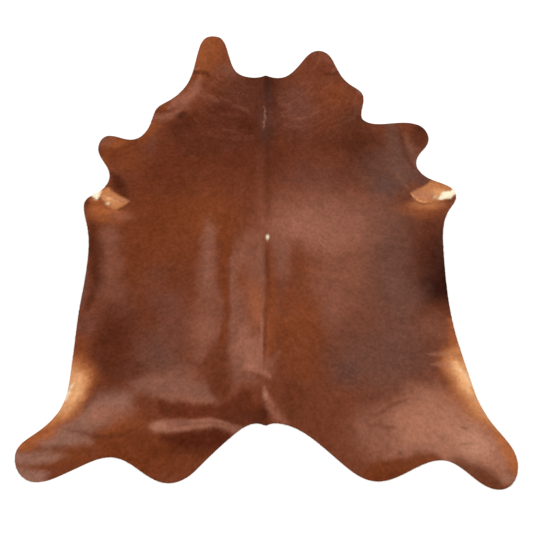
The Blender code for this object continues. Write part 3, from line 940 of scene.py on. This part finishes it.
def mark_share(fine, broken, mark):
    """How strongly one mark covers each point.

    Broad dabs, broad ribbons and soft patches are looked up at the broken places, and all others
    at the fine ones. A narrow ribbon is also worn: bumps 14 mm wide thin it out here and there.
    """
    if isinstance(mark, Dab):
        return dab_share(broken if min(mark.reach_x, mark.reach_y) >= BROAD_DAB else fine, mark)
    if isinstance(mark, Stroke):
        return mark.share * band(fine, mark.start_x, mark.start_y, mark.end_x, mark.end_y,
                                 mark.bow, mark.half_width, STROKE_FADE)
    if isinstance(mark, Ribbon) and max(knot[2] for knot in mark.knots) > BROAD_RIBBON:
        return mark.share * ribbon_share(broken, mark.knots)
    if isinstance(mark, Ribbon):
        worn = np.clip(0.85 + 0.45 * soft_noise(fine, 0.014, 45), 0, 1)
        return mark.share * worn * ribbon_share(fine, mark.knots)
    return mark.share * patch_share(broken if mark.soft >= SOFT_PATCH else fine, mark.corners, mark.soft)


cream_spot = np.array([[8, 10]]) * MM
print("the cream spot's share in its middle:", mark_share(cream_spot, cream_spot, BACKBONE[-1])[0])

# %% [markdown]
# The skin of the neck lies in wrinkles that curve round the head end, and rings along them are
# painted a little paler, in rose. There are too many to place one by one, so bumps are stretched
# along circles.

# %% Neck rings
def neck_rings(points):
    """Pale wrinkles that curve round the head end, from 0 to 1.

    They are bumps that change every 8 mm with the distance from a point 1.02 m up the neck, and
    only every 60 mm along the ring, and slow bumps pull the rings out of round. They fade towards
    the nape and past the shoulders.
    """
    offset = points - np.array([0.0, 1.02])
    far = np.hypot(*offset.T)
    bent = far + 0.030 * soft_noise(points, 0.11, 39) + 0.007 * soft_noise(points, 0.035, 40)
    ring = np.column_stack([bent / 0.008, np.arctan2(*offset.T) * far / 0.06])
    line = np.clip(soft_noise(ring, 1.0, 37) - 0.2, 0, None) / 0.8
    reach = np.clip((far - 0.16) / 0.12, 0, 1) * np.clip((0.62 - far) / 0.16, 0, 1)
    return line * reach * np.clip(np.abs(points[:, 0]) / 0.09, 0, 1)


print("the palest ring reaches", neck_rings(field_points).max().round(2))

# %% [markdown]
# ## The whole coat
#
# Everything comes together here: the marks over plain chestnut, then the rings, then the slow
# clouds and streaks that keep any part of the coat from being one flat colour.

# %% Coat colour
RING_SHARE = 0.30          # how much of "rose" the palest ring gets
TONE_SHARE = 0.07          # how much of "rust" or "mauve" the tone brings at most


def coat_colour(points):
    """Linear colour of the hair at each point, as an (n, 3) array.

    The places are shifted by wavering bumps and feathered along the hair, by about 10 mm for the
    broken edges and 2 mm for the fine ones. Over the marks come the neck's rings, a change of
    tone between rust and mauve, and clouds that make the coat a little lighter and darker. With
    the clouds a little grey comes and goes too, which is painted sheen.
    """
    waver = np.column_stack([soft_noise(points, 0.05, 31), soft_noise(points, 0.05, 32)])
    waver += 0.3 * np.column_stack([soft_noise(points, 0.018, 33), soft_noise(points, 0.018, 34)])
    feather = hair_way(points) * combed(points, 0.005, 0.03, 44)[:, None]
    broken = points + 0.010 * waver + 0.0025 * feather
    fine = points + 0.002 * waver + 0.0005 * feather
    colour = np.tile(pigment("chestnut"), (len(points), 1))
    for mark in MARKS:
        colour += (pigment(mark.colour) - colour) * mark_share(fine, broken, mark)[:, None]
    colour += (pigment("rose") - colour) * RING_SHARE * neck_rings(points)[:, None]
    tone = 0.8 * soft_noise(points, 0.06, 38) + 0.6 * soft_noise(points, 0.022, 41)
    colour += (pigment("rust") - colour) * TONE_SHARE * np.clip(tone, 0, 1)[:, None]
    colour += (pigment("mauve") - colour) * TONE_SHARE * np.clip(-tone, 0, 1)[:, None]
    cloud = 0.06 * soft_noise(points, 0.09, 35) + 0.08 * soft_noise(points, 0.035, 42)
    cloud += 0.09 * soft_noise(points, 0.016, 43) + 0.05 * combed(points, 0.008, 0.05, 36)
    # The clouds scale the colour, and the grey that comes with them is painted sheen.
    return colour + (colour + CLOUD_SHEEN) * (cloud / (1 + 4 * colour[:, 1]))[:, None]


print("the withers are", coat_colour(np.array([[0.1, 0.4]])).round(3)[0])

# %% [markdown]
# ## The hide as one closed sheet
#
# The rug is a single skin, so it is modelled as one closed body. A profile runs round the whole
# outline: it starts at the underside, climbs the cut leather, and rolls over the lying hair. Each
# of its rows is a ring. A cap of nearly equal triangles then closes the top, and a coarser cap
# closes the underside.

# %% Rings and caps
RING_ROWS = [                 # millimetres inside the outline, and millimetres above the underside
    (0.9, 0.0), (0.25, 0.25), (0.0, 0.9), (0.1, 1.8), (0.3, 2.3),              # the cut leather
    (-0.9, 2.3), (-1.6, 2.8), (-1.2, 3.4), (0.2, 3.8), (3.0, 4.0),             # the lying hair
]
LEATHER_ROWS = 5
TOP_SPACING = 0.0072          # metres between the points of the top cap
UNDER_SPACING = 0.017


def staggered(spacing):
    """Points of a grid of equal triangles over the hide's rectangle."""
    low, high = outline.min(axis=0), outline.max(axis=0)
    x, y = np.meshgrid(np.arange(low[0], high[0], spacing),
                       np.arange(low[1], high[1], spacing * math.sqrt(3) / 2))
    x[1::2] += spacing / 2
    return np.column_stack([x.ravel(), y.ravel()])


def cap(ring, spacing, clear):
    """Triangles that fill a ring: its own points, then the staggered ones that are `clear` of it.

    Returns all the points, and the triangles, anticlockwise.
    """
    grid = staggered(spacing)
    edge_depth = depth(ring).max()
    grid = grid[depth(grid) > edge_depth + clear]
    flat = np.concatenate([ring, grid])
    start = np.arange(len(ring))
    sides = np.column_stack([start, np.roll(start, -1)])
    inside_only, nearest = 1, 1e-7
    _, _, triangles, source, *_ = delaunay_2d_cdt(flat.tolist(), sides.tolist(), [], inside_only, nearest)
    triangles = np.array(source)[:, 0][np.array(triangles)]
    first, second, third = (flat[triangles[:, k]] for k in range(3))
    clockwise = np.cross(second - first, third - first) < 0
    triangles[clockwise] = triangles[clockwise][:, ::-1]
    return flat, triangles


def band_faces(rows, steps):
    """Quads between neighbouring rings that have the same number of steps, facing outwards."""
    ring, step = np.meshgrid(np.arange(rows - 1), np.arange(steps), indexing="ij")
    after = (step + 1) % steps
    return np.stack([ring * steps + step, ring * steps + after,
                     (ring + 1) * steps + after, (ring + 1) * steps + step], axis=-1).reshape(-1, 4)


rim_inward = inward_of(outline)
rings = np.stack([outline + rim_inward * inset * MM for inset, _ in RING_ROWS])
ring_heights = np.stack([lift(outline) + height * MM for _, height in RING_ROWS])
top_flat, top_faces = cap(rings[-1], TOP_SPACING, 0.6 * TOP_SPACING)
under_flat, under_faces = cap(rings[0], UNDER_SPACING, 0.5 * UNDER_SPACING)
print(len(top_faces), "triangles on top,", len(under_faces), "below")

# %% [markdown]
# ## Putting arrays into a mesh
#
# All the pieces are filled in the same way: one array of places, one of faces, and colours and
# directions for each point, which the material reads by name. Each also gets a flat map, on which
# its finish can be baked into an image for other programs.

# %% Mesh from arrays
BAKE_MAP = "OFBake"


def piece_from(name, places, faces, materials, slots=None):
    """A smooth object from an array of places and a list of face arrays, each of one corner count."""
    counts = np.concatenate([np.full(len(part), part.shape[1]) for part in faces])
    corners = np.concatenate([part.ravel() for part in faces])
    mesh = bpy.data.meshes.new(name)
    mesh.vertices.add(len(places))
    mesh.vertices.foreach_set("co", np.ascontiguousarray(places, dtype=np.float32).ravel())
    mesh.loops.add(len(corners))
    mesh.loops.foreach_set("vertex_index", corners.astype(np.int32))
    mesh.polygons.add(len(counts))
    mesh.polygons.foreach_set("loop_start", (np.cumsum(counts) - counts).astype(np.int32))
    for material in materials:
        mesh.materials.append(material)
    if slots is not None:
        mesh.polygons.foreach_set("material_index", slots.astype(np.int32))
    mesh.update(calc_edges=True)
    mesh.validate()
    mesh.shade_smooth()
    piece = bpy.data.objects.new(name, mesh)
    bpy.context.scene.collection.objects.link(piece)
    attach(piece, "root")
    return piece


def add_colour(piece, name, colour):
    """A linear colour for each point, which an Attribute node reads by its name."""
    full = np.column_stack([np.clip(colour, 0, 1), np.ones(len(colour))])
    layer = piece.data.color_attributes.new(name, 'FLOAT_COLOR', 'POINT')
    layer.data.foreach_set("color", full.astype(np.float32).ravel())


def add_direction(piece, name, direction):
    """A direction in the floor's plane for each point."""
    full = np.column_stack([direction, np.zeros(len(direction))])
    layer = piece.data.attributes.new(name, 'FLOAT_VECTOR', 'POINT')
    layer.data.foreach_set("vector", full.astype(np.float32).ravel())


def add_bake_map(piece, spread):
    """A map of the piece on a square, from a place on the plane for each corner of each face."""
    low, high = spread.min(axis=0), spread.max(axis=0)
    layer = piece.data.uv_layers.new(name=BAKE_MAP)
    layer.uv.foreach_set("vector", ((spread - low) / (high - low)).astype(np.float32).ravel())


print("each piece gets a map named", BAKE_MAP)

# %% [markdown]
# ## A short way to write materials
#
# A shader is arithmetic on colours and numbers, so it reads best as arithmetic. `Wire` stands for
# one output of a node, and adding or multiplying wires adds the Math nodes. `Finish` holds a
# material and adds any other node from its type, its settings and its inputs. The floor's paint
# is the shortest finish: matt and pale, with a little light of its own, so that it stays even.

# %% Wires and finishes
class Wire:
    """A number on its way from one shader node to another."""

    def __init__(self, finish, socket):
        self.finish, self.socket = finish, socket

    def _math(self, operation, first, second):
        return self.finish.add('ShaderNodeMath', {"operation": operation}, {0: first, 1: second})

    def __add__(self, other):
        return self._math('ADD', self, other)

    def __radd__(self, other):
        return self._math('ADD', other, self)

    def __sub__(self, other):
        return self._math('SUBTRACT', self, other)

    def __rsub__(self, other):
        return self._math('SUBTRACT', other, self)

    def __mul__(self, other):
        return self._math('MULTIPLY', self, other)

    def __rmul__(self, other):
        return self._math('MULTIPLY', other, self)


class Finish:
    """A material, with one method that adds a node and wires it up."""

    def __init__(self, name):
        self.material = bpy.data.materials.new(name)
        self.material.use_nodes = True
        self.nodes = self.material.node_tree.nodes
        self.links = self.material.node_tree.links
        self.nodes.clear()

    def add(self, kind, settings=None, values=None, output=0):
        """Adds a node: its settings first, then each input, from a wire or as a plain value.

        Returns a wire from the output that has this name or number, or nothing for None.
        """
        node = self.nodes.new(kind)
        for setting, value in (settings or {}).items():
            setattr(node, setting, value)
        for socket, value in (values or {}).items():
            if isinstance(value, Wire):
                self.links.new(value.socket, node.inputs[socket])
            else:
                node.inputs[socket].default_value = value
        return None if output is None else Wire(self, node.outputs[output])

    def mixed(self, share, first, second):
        """One colour blended over another; the share may be a wire."""
        colours = {0: share}
        for socket, colour in ((6, first), (7, second)):
            colours[socket] = colour if isinstance(colour, Wire) else (*colour, 1)
        return self.add('ShaderNodeMix', {"data_type": 'RGBA'}, colours, output=2)

    def surface(self, values):
        """Ends the material with a Principled BSDF that has these inputs."""
        skin = self.add('ShaderNodeBsdfPrincipled', values=values)
        self.add('ShaderNodeOutputMaterial', values={"Surface": skin}, output=None)
        return self.material


def floor_finish():
    """Matt pale paint that glows a little."""
    return Finish("floor_paint").surface({
        "Base Color": (0.6, 0.6, 0.59, 1), "Roughness": 0.9, "Specular IOR Level": 0.1,
        "Emission Color": (1.0, 1.0, 0.99, 1), "Emission Strength": 0.5})


floor_material = floor_finish()
print("floor paint:", len(floor_material.node_tree.nodes), "nodes")

# %% [markdown]
# ## The finish of the hair
#
# Each point already has its coat colour. Single hairs are far finer than the mesh, so the
# material adds them: fine noise is averaged at eight places along the hair's lie, which smears it
# into hair-like streaks. They vary the colour, and a Bump node lets them catch the light. Pale hair
# has a pale glint, but the gloss of nearly black hair is as dark as its own colour, so there the
# material is made partly metallic.

# %% Hair material
HAIR_TAPS = 8
HAIR_TAP_STEP = 1.3 * MM
NEAR_BLACK = 1 / 80          # green light below which hair counts as dark
DARK_GLOSS = 0.45            # how metallic black hair is


def hair_finish():
    """Streaks along the lie: the mean of noise at the point and at steps along its direction.

    The coat's colour is multiplied by 1 + change, where change is the streaks and the mottling, and
    the same grey as in the coat's clouds, times the change, is added as painted sheen. The paler the
    hair, the less it changes.
    """
    hair = Finish("hair")
    here = hair.add('ShaderNodeTexCoord', output="Object")
    coat = hair.add('ShaderNodeAttribute', {"attribute_name": "coat"}, output="Color")
    way = hair.add('ShaderNodeAttribute', {"attribute_name": "way"}, output="Vector")
    streak = 0
    for k in range(HAIR_TAPS):
        tap = hair.add('ShaderNodeVectorMath', {"operation": 'MULTIPLY_ADD'},
                       {0: way, 1: (k * HAIR_TAP_STEP,) * 3, 2: here})
        streak = streak + hair.add('ShaderNodeTexNoise', {"noise_dimensions": '3D'},
                                   {"Vector": tap, "Scale": 850.0, "Detail": 1.0}) * (1 / HAIR_TAPS)
    mottle = hair.add('ShaderNodeTexNoise', values={"Vector": here, "Scale": 75.0, "Detail": 3.0})
    lightness = hair.add('ShaderNodeSeparateColor', values={"Color": coat}, output="Green")
    calm = 1.0 - lightness * 0.9
    dark = hair.add('ShaderNodeMath', {"operation": 'SUBTRACT', "use_clamp": True},
                    {0: 1.0, 1: lightness * (1 / NEAR_BLACK)})
    change = ((streak - 0.5) * 2.0 + (mottle - 0.5) * 0.7) * calm
    # The coat plus a little grey: the grey, scaled by the change, is painted sheen.
    paler = hair.add('ShaderNodeVectorMath', {"operation": 'ADD'}, {0: coat, 1: (CLOUD_SHEEN,) * 3})
    tint = hair.add('ShaderNodeVectorMath', {"operation": 'MULTIPLY_ADD'}, {0: paler, 1: change, 2: coat})
    bump = hair.add('ShaderNodeBump', values={"Strength": 0.5, "Distance": 0.0004, "Height": streak})
    return hair.surface({"Base Color": tint, "Roughness": 0.60 - streak * 0.22, "Normal": bump,
                         "Metallic": dark * DARK_GLOSS,
                         "Specular IOR Level": 0.10, "Specular Tint": (1.0, 0.72, 0.55, 1)})


hair_material = hair_finish()
print("hair:", len(hair_material.node_tree.nodes), "nodes")

# %% [markdown]
# ## The suede underside and the cut edge
#
# Below, the tanned flesh side is pale suede: buffed to a nap, cloudy where the dye took unevenly,
# with faint branching lines where the veins ran. The knife leaves the edge bare, and there the
# leather's fibres show a little darker.

# %% Suede and edge materials
def suede_finish():
    """Pale leather with clouds 10 cm wide and nap under 1 mm.

    The veins are lines where a slow noise passes through its middle value, 0.5.
    """
    suede = Finish("suede")
    here = suede.add('ShaderNodeTexCoord', output="Object")
    cloud = suede.add('ShaderNodeTexNoise', values={"Vector": here, "Scale": 9.0, "Detail": 4.0})
    nap = suede.add('ShaderNodeTexNoise', values={"Vector": here, "Scale": 900.0, "Detail": 2.0})
    wander = suede.add('ShaderNodeTexNoise', values={"Vector": here, "Scale": 3.2, "Detail": 2.0})
    vein = suede.add('ShaderNodeMapRange', values={
        "Value": suede.add('ShaderNodeMath', {"operation": 'ABSOLUTE'}, {0: wander - 0.5}),
        "From Min": 0.0, "From Max": 0.012, "To Min": 0.35, "To Max": 0.0})
    colour = suede.mixed(cloud, linear((214, 190, 158)), linear((188, 158, 124)))
    colour = suede.mixed(vein, colour, linear((168, 134, 102)))
    bump = suede.add('ShaderNodeBump', values={"Strength": 0.4, "Distance": 0.0003, "Height": nap})
    return suede.surface({"Base Color": colour, "Roughness": 0.86 + nap * 0.1, "Normal": bump,
                          "Specular IOR Level": 0.25, "Sheen Weight": 0.15, "Sheen Roughness": 0.6})


def edge_finish():
    """Cut leather: tan, with fibre grain under a millimetre wide."""
    edge = Finish("cut_leather")
    here = edge.add('ShaderNodeTexCoord', output="Object")
    fibre = edge.add('ShaderNodeTexNoise', values={"Vector": here, "Scale": 1400.0, "Detail": 2.0})
    colour = edge.mixed(fibre, linear((150, 112, 82)), linear((196, 160, 124)))
    return edge.surface({"Base Color": colour, "Roughness": 0.8, "Specular IOR Level": 0.3})


suede_material = suede_finish()
edge_material = edge_finish()
print("suede and edge:", len(suede_material.node_tree.nodes), len(edge_material.node_tree.nodes), "nodes")

# %% [markdown]
# ## Building the hide
#
# The rings, the two caps and the three finishes come together here. The top cap starts from the
# last ring's points and the underside cap from the first ring's, so nothing has to be merged.

# %% The whole hide
HAIR, EDGE, SUEDE = 0, 1, 2
SKIRT = (10, 8.5, 7, 5.5, 4, 2.8, 1.6, 0.6, -0.4, -3)   # millimetres outside the outline, on the map
UNDER_SHRINK = (0.35, 1)                                # the underside's share of its true size there
UNDER_SHIFT = (1.45, 0)


def build_hide():
    """One closed body: the rings' points, then the top's, then the underside's.

    On its map the top lies as it does on the floor, with the rings spread round it like a skirt,
    and the underside lies beside it.
    """
    steps, rows = EDGE_STEPS, len(RING_ROWS)
    ring_places = np.column_stack([rings.reshape(-1, 2), ring_heights.ravel()])
    last = slice((rows - 1) * steps, rows * steps)
    ring_places[last, 2] = top_height(rings[-1])
    top_new, under_new = top_flat[steps:], under_flat[steps:]
    places = np.concatenate([ring_places,
                             np.column_stack([top_new, top_height(top_new)]),
                             np.column_stack([under_new, lift(under_new)])])
    first_new = rows * steps
    top = np.where(top_faces < steps, top_faces + (rows - 1) * steps, top_faces - steps + first_new)
    under = np.where(under_faces < steps, under_faces, under_faces - steps + first_new + len(top_new))
    bands = band_faces(rows, steps)
    slots = np.concatenate([np.where(np.arange(len(bands)) < (LEATHER_ROWS - 1) * steps, EDGE, HAIR),
                            np.full(len(top), HAIR), np.full(len(under), SUEDE)])
    hide = piece_from("whole_hide", places, [bands, top, under[:, ::-1]],
                      [hair_material, edge_material, suede_material], slots)
    add_colour(hide, "coat", coat_colour(places[:, :2]))
    add_direction(hide, "way", hair_way(places[:, :2]))
    skirt = np.stack([outline - rim_inward * out * MM for out in SKIRT]).reshape(-1, 2)
    above = np.concatenate([skirt, top_new, under_new])[np.concatenate([bands.ravel(), top.ravel()])]
    below = places[under[:, ::-1].ravel(), :2] * UNDER_SHRINK + UNDER_SHIFT
    add_bake_map(hide, np.concatenate([above, below]))
    return hide


whole_hide = build_hide()
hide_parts("hide")
hide_triangles = len(whole_hide.data.loops) - 2 * len(whole_hide.data.polygons)
print("whole_hide:", hide_triangles, "triangles")

# %% [markdown]
# ## Locks of hair
#
# The coat's hairs are too many to model one by one, and need not be: hair that lies flat sticks
# together in thin locks. Each lock is a slim closed spindle of six triangles. Its root is sunk in the
# coat, its middle arches over it and its tip comes down again, along the lie of the hair.

# %% Lock shape
LOCK_SIDES = 3
LOCK_FLATNESS = 0.10       # height of the ring's top point over its middle, as a share of the width
LOCK_CREST = 0.45          # where the ring is, as a share of the length
ROOT_DEPTH = 0.5 * MM
LOCK_ANGLES = [math.pi / 2 + k * math.tau / LOCK_SIDES for k in range(LOCK_SIDES)]


def lock_faces(count):
    """Triangles of that many spindles: from each root to its ring, and from the ring to the tip."""
    first = np.arange(count)[:, None] * (LOCK_SIDES + 2)
    after = [1 + (k + 1) % LOCK_SIDES for k in range(LOCK_SIDES)]
    pattern = [(0, after[k], 1 + k) for k in range(LOCK_SIDES)]
    pattern += [(LOCK_SIDES + 1, 1 + k, after[k]) for k in range(LOCK_SIDES)]
    return np.concatenate([first + np.array(corners) for corners in pattern])


def build_locks(name, roots, way, length, width, arch, seed):
    """Spindles: a root point, a ring of three points, and a tip point.

    The line from root to tip bends with the lie, so the tip is placed by the direction at the
    middle. The ring is about `width` across and flat, and stands up to 1.3 times `arch` above the
    coat. The normals point nearly straight up, so that a lock takes the light as the coat below it
    does: each lock leans them a little to one side, and its ring leans them outwards. On the map a
    lock lies as it does on the floor.
    """
    random = np.random.default_rng(seed)
    count = len(roots)
    size = length * random.uniform(0.7, 1.25, (count, 1))
    middle = roots + way * size * LOCK_CREST
    turned = hair_way(middle) + way
    turned /= np.linalg.norm(turned, axis=1)[:, None]
    tip = middle + turned * size * (1 - LOCK_CREST)
    side = np.column_stack([-turned[:, 1], turned[:, 0]])
    thick = width * random.uniform(0.7, 1.3, (count, 1))
    rise = arch * random.uniform(0.3, 1.3, count)
    places = np.empty((count, LOCK_SIDES + 2, 3))
    places[:, 0] = np.column_stack([roots, top_height(roots) - ROOT_DEPTH])
    crest = top_height(middle) + rise
    for k, angle in enumerate(LOCK_ANGLES):
        places[:, 1 + k, :2] = middle + side * thick * 0.5 * math.cos(angle)
        places[:, 1 + k, 2] = crest + thick[:, 0] * LOCK_FLATNESS * math.sin(angle)
    places[:, -1] = np.column_stack([tip, top_height(tip) + rise * 0.3])
    faces = lock_faces(count)
    locks = piece_from(name, places.reshape(-1, 3), [faces], [hair_material])
    add_bake_map(locks, places.reshape(-1, 3)[faces.ravel(), :2])
    lean = random.normal(0, 0.10, (count, 1))
    facing = np.ones((count, LOCK_SIDES + 2, 3))
    facing[:, :, :2] = (side * lean)[:, None]
    for k, angle in enumerate(LOCK_ANGLES):
        facing[:, 1 + k, :2] = side * (lean + 0.5 * math.cos(angle))
    locks.data.normals_split_custom_set_from_vertices(facing.reshape(-1, 3).tolist())
    shade = coat_colour(roots) * random.normal(1.0, 0.05, (count, 1))
    add_colour(locks, "coat", np.repeat(shade, LOCK_SIDES + 2, axis=0))
    add_direction(locks, "way", np.repeat(way, LOCK_SIDES + 2, axis=0))
    print(name + ":", count, "locks,", len(faces), "triangles")
    return locks


print("a lock has", len(lock_faces(1)), "triangles")

# %% [markdown]
# ## Hair over the hide
#
# The roots stand on a staggered grid, each nudged at random so that no rows show. The hide is
# covered in three parts from the neck to the rump, so that none of the meshes grows too large. A
# lock whose tip would reach past the edge is left out.

# %% Hair over the hide
LOCK_SPACING = 6.0 * MM
LOCK_REACH = 20 * MM         # how far ahead of its root a lock is tested
EDGE_CLEAR = 1 * MM          # how far inside the edge that place has to be
LOCK_SIZE = {"length": 0.018, "width": 1.0 * MM, "arch": 0.25 * MM}
scatter = np.random.default_rng(5)


def nudged_roots(spacing):
    """Staggered points moved by up to 0.45 of the spacing, kept where the hide is."""
    roots = staggered(spacing)
    roots = roots + scatter.uniform(-0.45, 0.45, roots.shape) * spacing
    return roots[depth(roots) > 0.002]


roots = nudged_roots(LOCK_SPACING)
roots = roots[np.argsort(-roots[:, 1], kind="stable")]
for part, (name, share) in enumerate(zip(("hair_neck", "hair_back", "hair_rump"),
                                         np.array_split(roots, 3))):
    fanned = hair_way(share) + scatter.normal(0, 0.10, share.shape)
    fanned /= np.linalg.norm(fanned, axis=1)[:, None]
    within = depth(share + fanned * LOCK_REACH) > EDGE_CLEAR
    build_locks(name, share[within], fanned[within], **LOCK_SIZE, seed=50 + part)

# %% [markdown]
# ## Hair over the edge
#
# Where the lie points outwards, hair hangs a few millimetres over the cut edge and softens it. At
# the neck it points inwards, and the cut stays clean, as it does on a real rug.

# %% Hair over the edge
RIM_LOCKS = 16000
RIM_LOCK_SIZE = {"length": 8.5 * MM, "width": 0.8 * MM, "arch": 0.15 * MM}


def rim_roots(count):
    """Places spread along the outline, 2 to 9 mm inside it, and the outward direction there."""
    place = scatter.uniform(0, EDGE_STEPS, count)
    index = place.astype(int)
    share = (place - index)[:, None]
    here = outline[index] * (1 - share) + outline[(index + 1) % EDGE_STEPS] * share
    inward = rim_inward[index]
    return here + inward * scatter.uniform(0.002, 0.009, (count, 1)), -inward


def rim_directions(roots, outward):
    """The lie, turned halfway outwards, with a little scatter."""
    way = hair_way(roots) + 0.5 * outward + scatter.normal(0, 0.22, roots.shape)
    return way / np.linalg.norm(way, axis=1)[:, None]


edge_roots, edge_outward = rim_roots(RIM_LOCKS)
edge_way = rim_directions(edge_roots, edge_outward)
outgoing = (edge_way * edge_outward).sum(axis=1) > 0.1
build_locks("hair_rim", edge_roots[outgoing], edge_way[outgoing], **RIM_LOCK_SIZE,
                               seed=60)

# %% [markdown]
# ## The floor
#
# The floor under the rug is plain and pale, because it has to show the outline and nothing else.

FLOOR_HALF = 14.0
FLOOR_LEVEL = -0.0006


def build_floor():
    """A pale square of floor, a hair's breadth under the hide."""
    corners = [(x * FLOOR_HALF, y * FLOOR_HALF, FLOOR_LEVEL)
               for x, y in ((-1, -1), (1, -1), (1, 1), (-1, 1))]
    mesh = bpy.data.meshes.new("floor")
    mesh.from_pydata(corners, [], [(0, 1, 2, 3)])
    mesh.materials.append(floor_material)
    floor = bpy.data.objects.new("floor", mesh)
    bpy.context.scene.collection.objects.link(floor)
    return floor


build_floor()
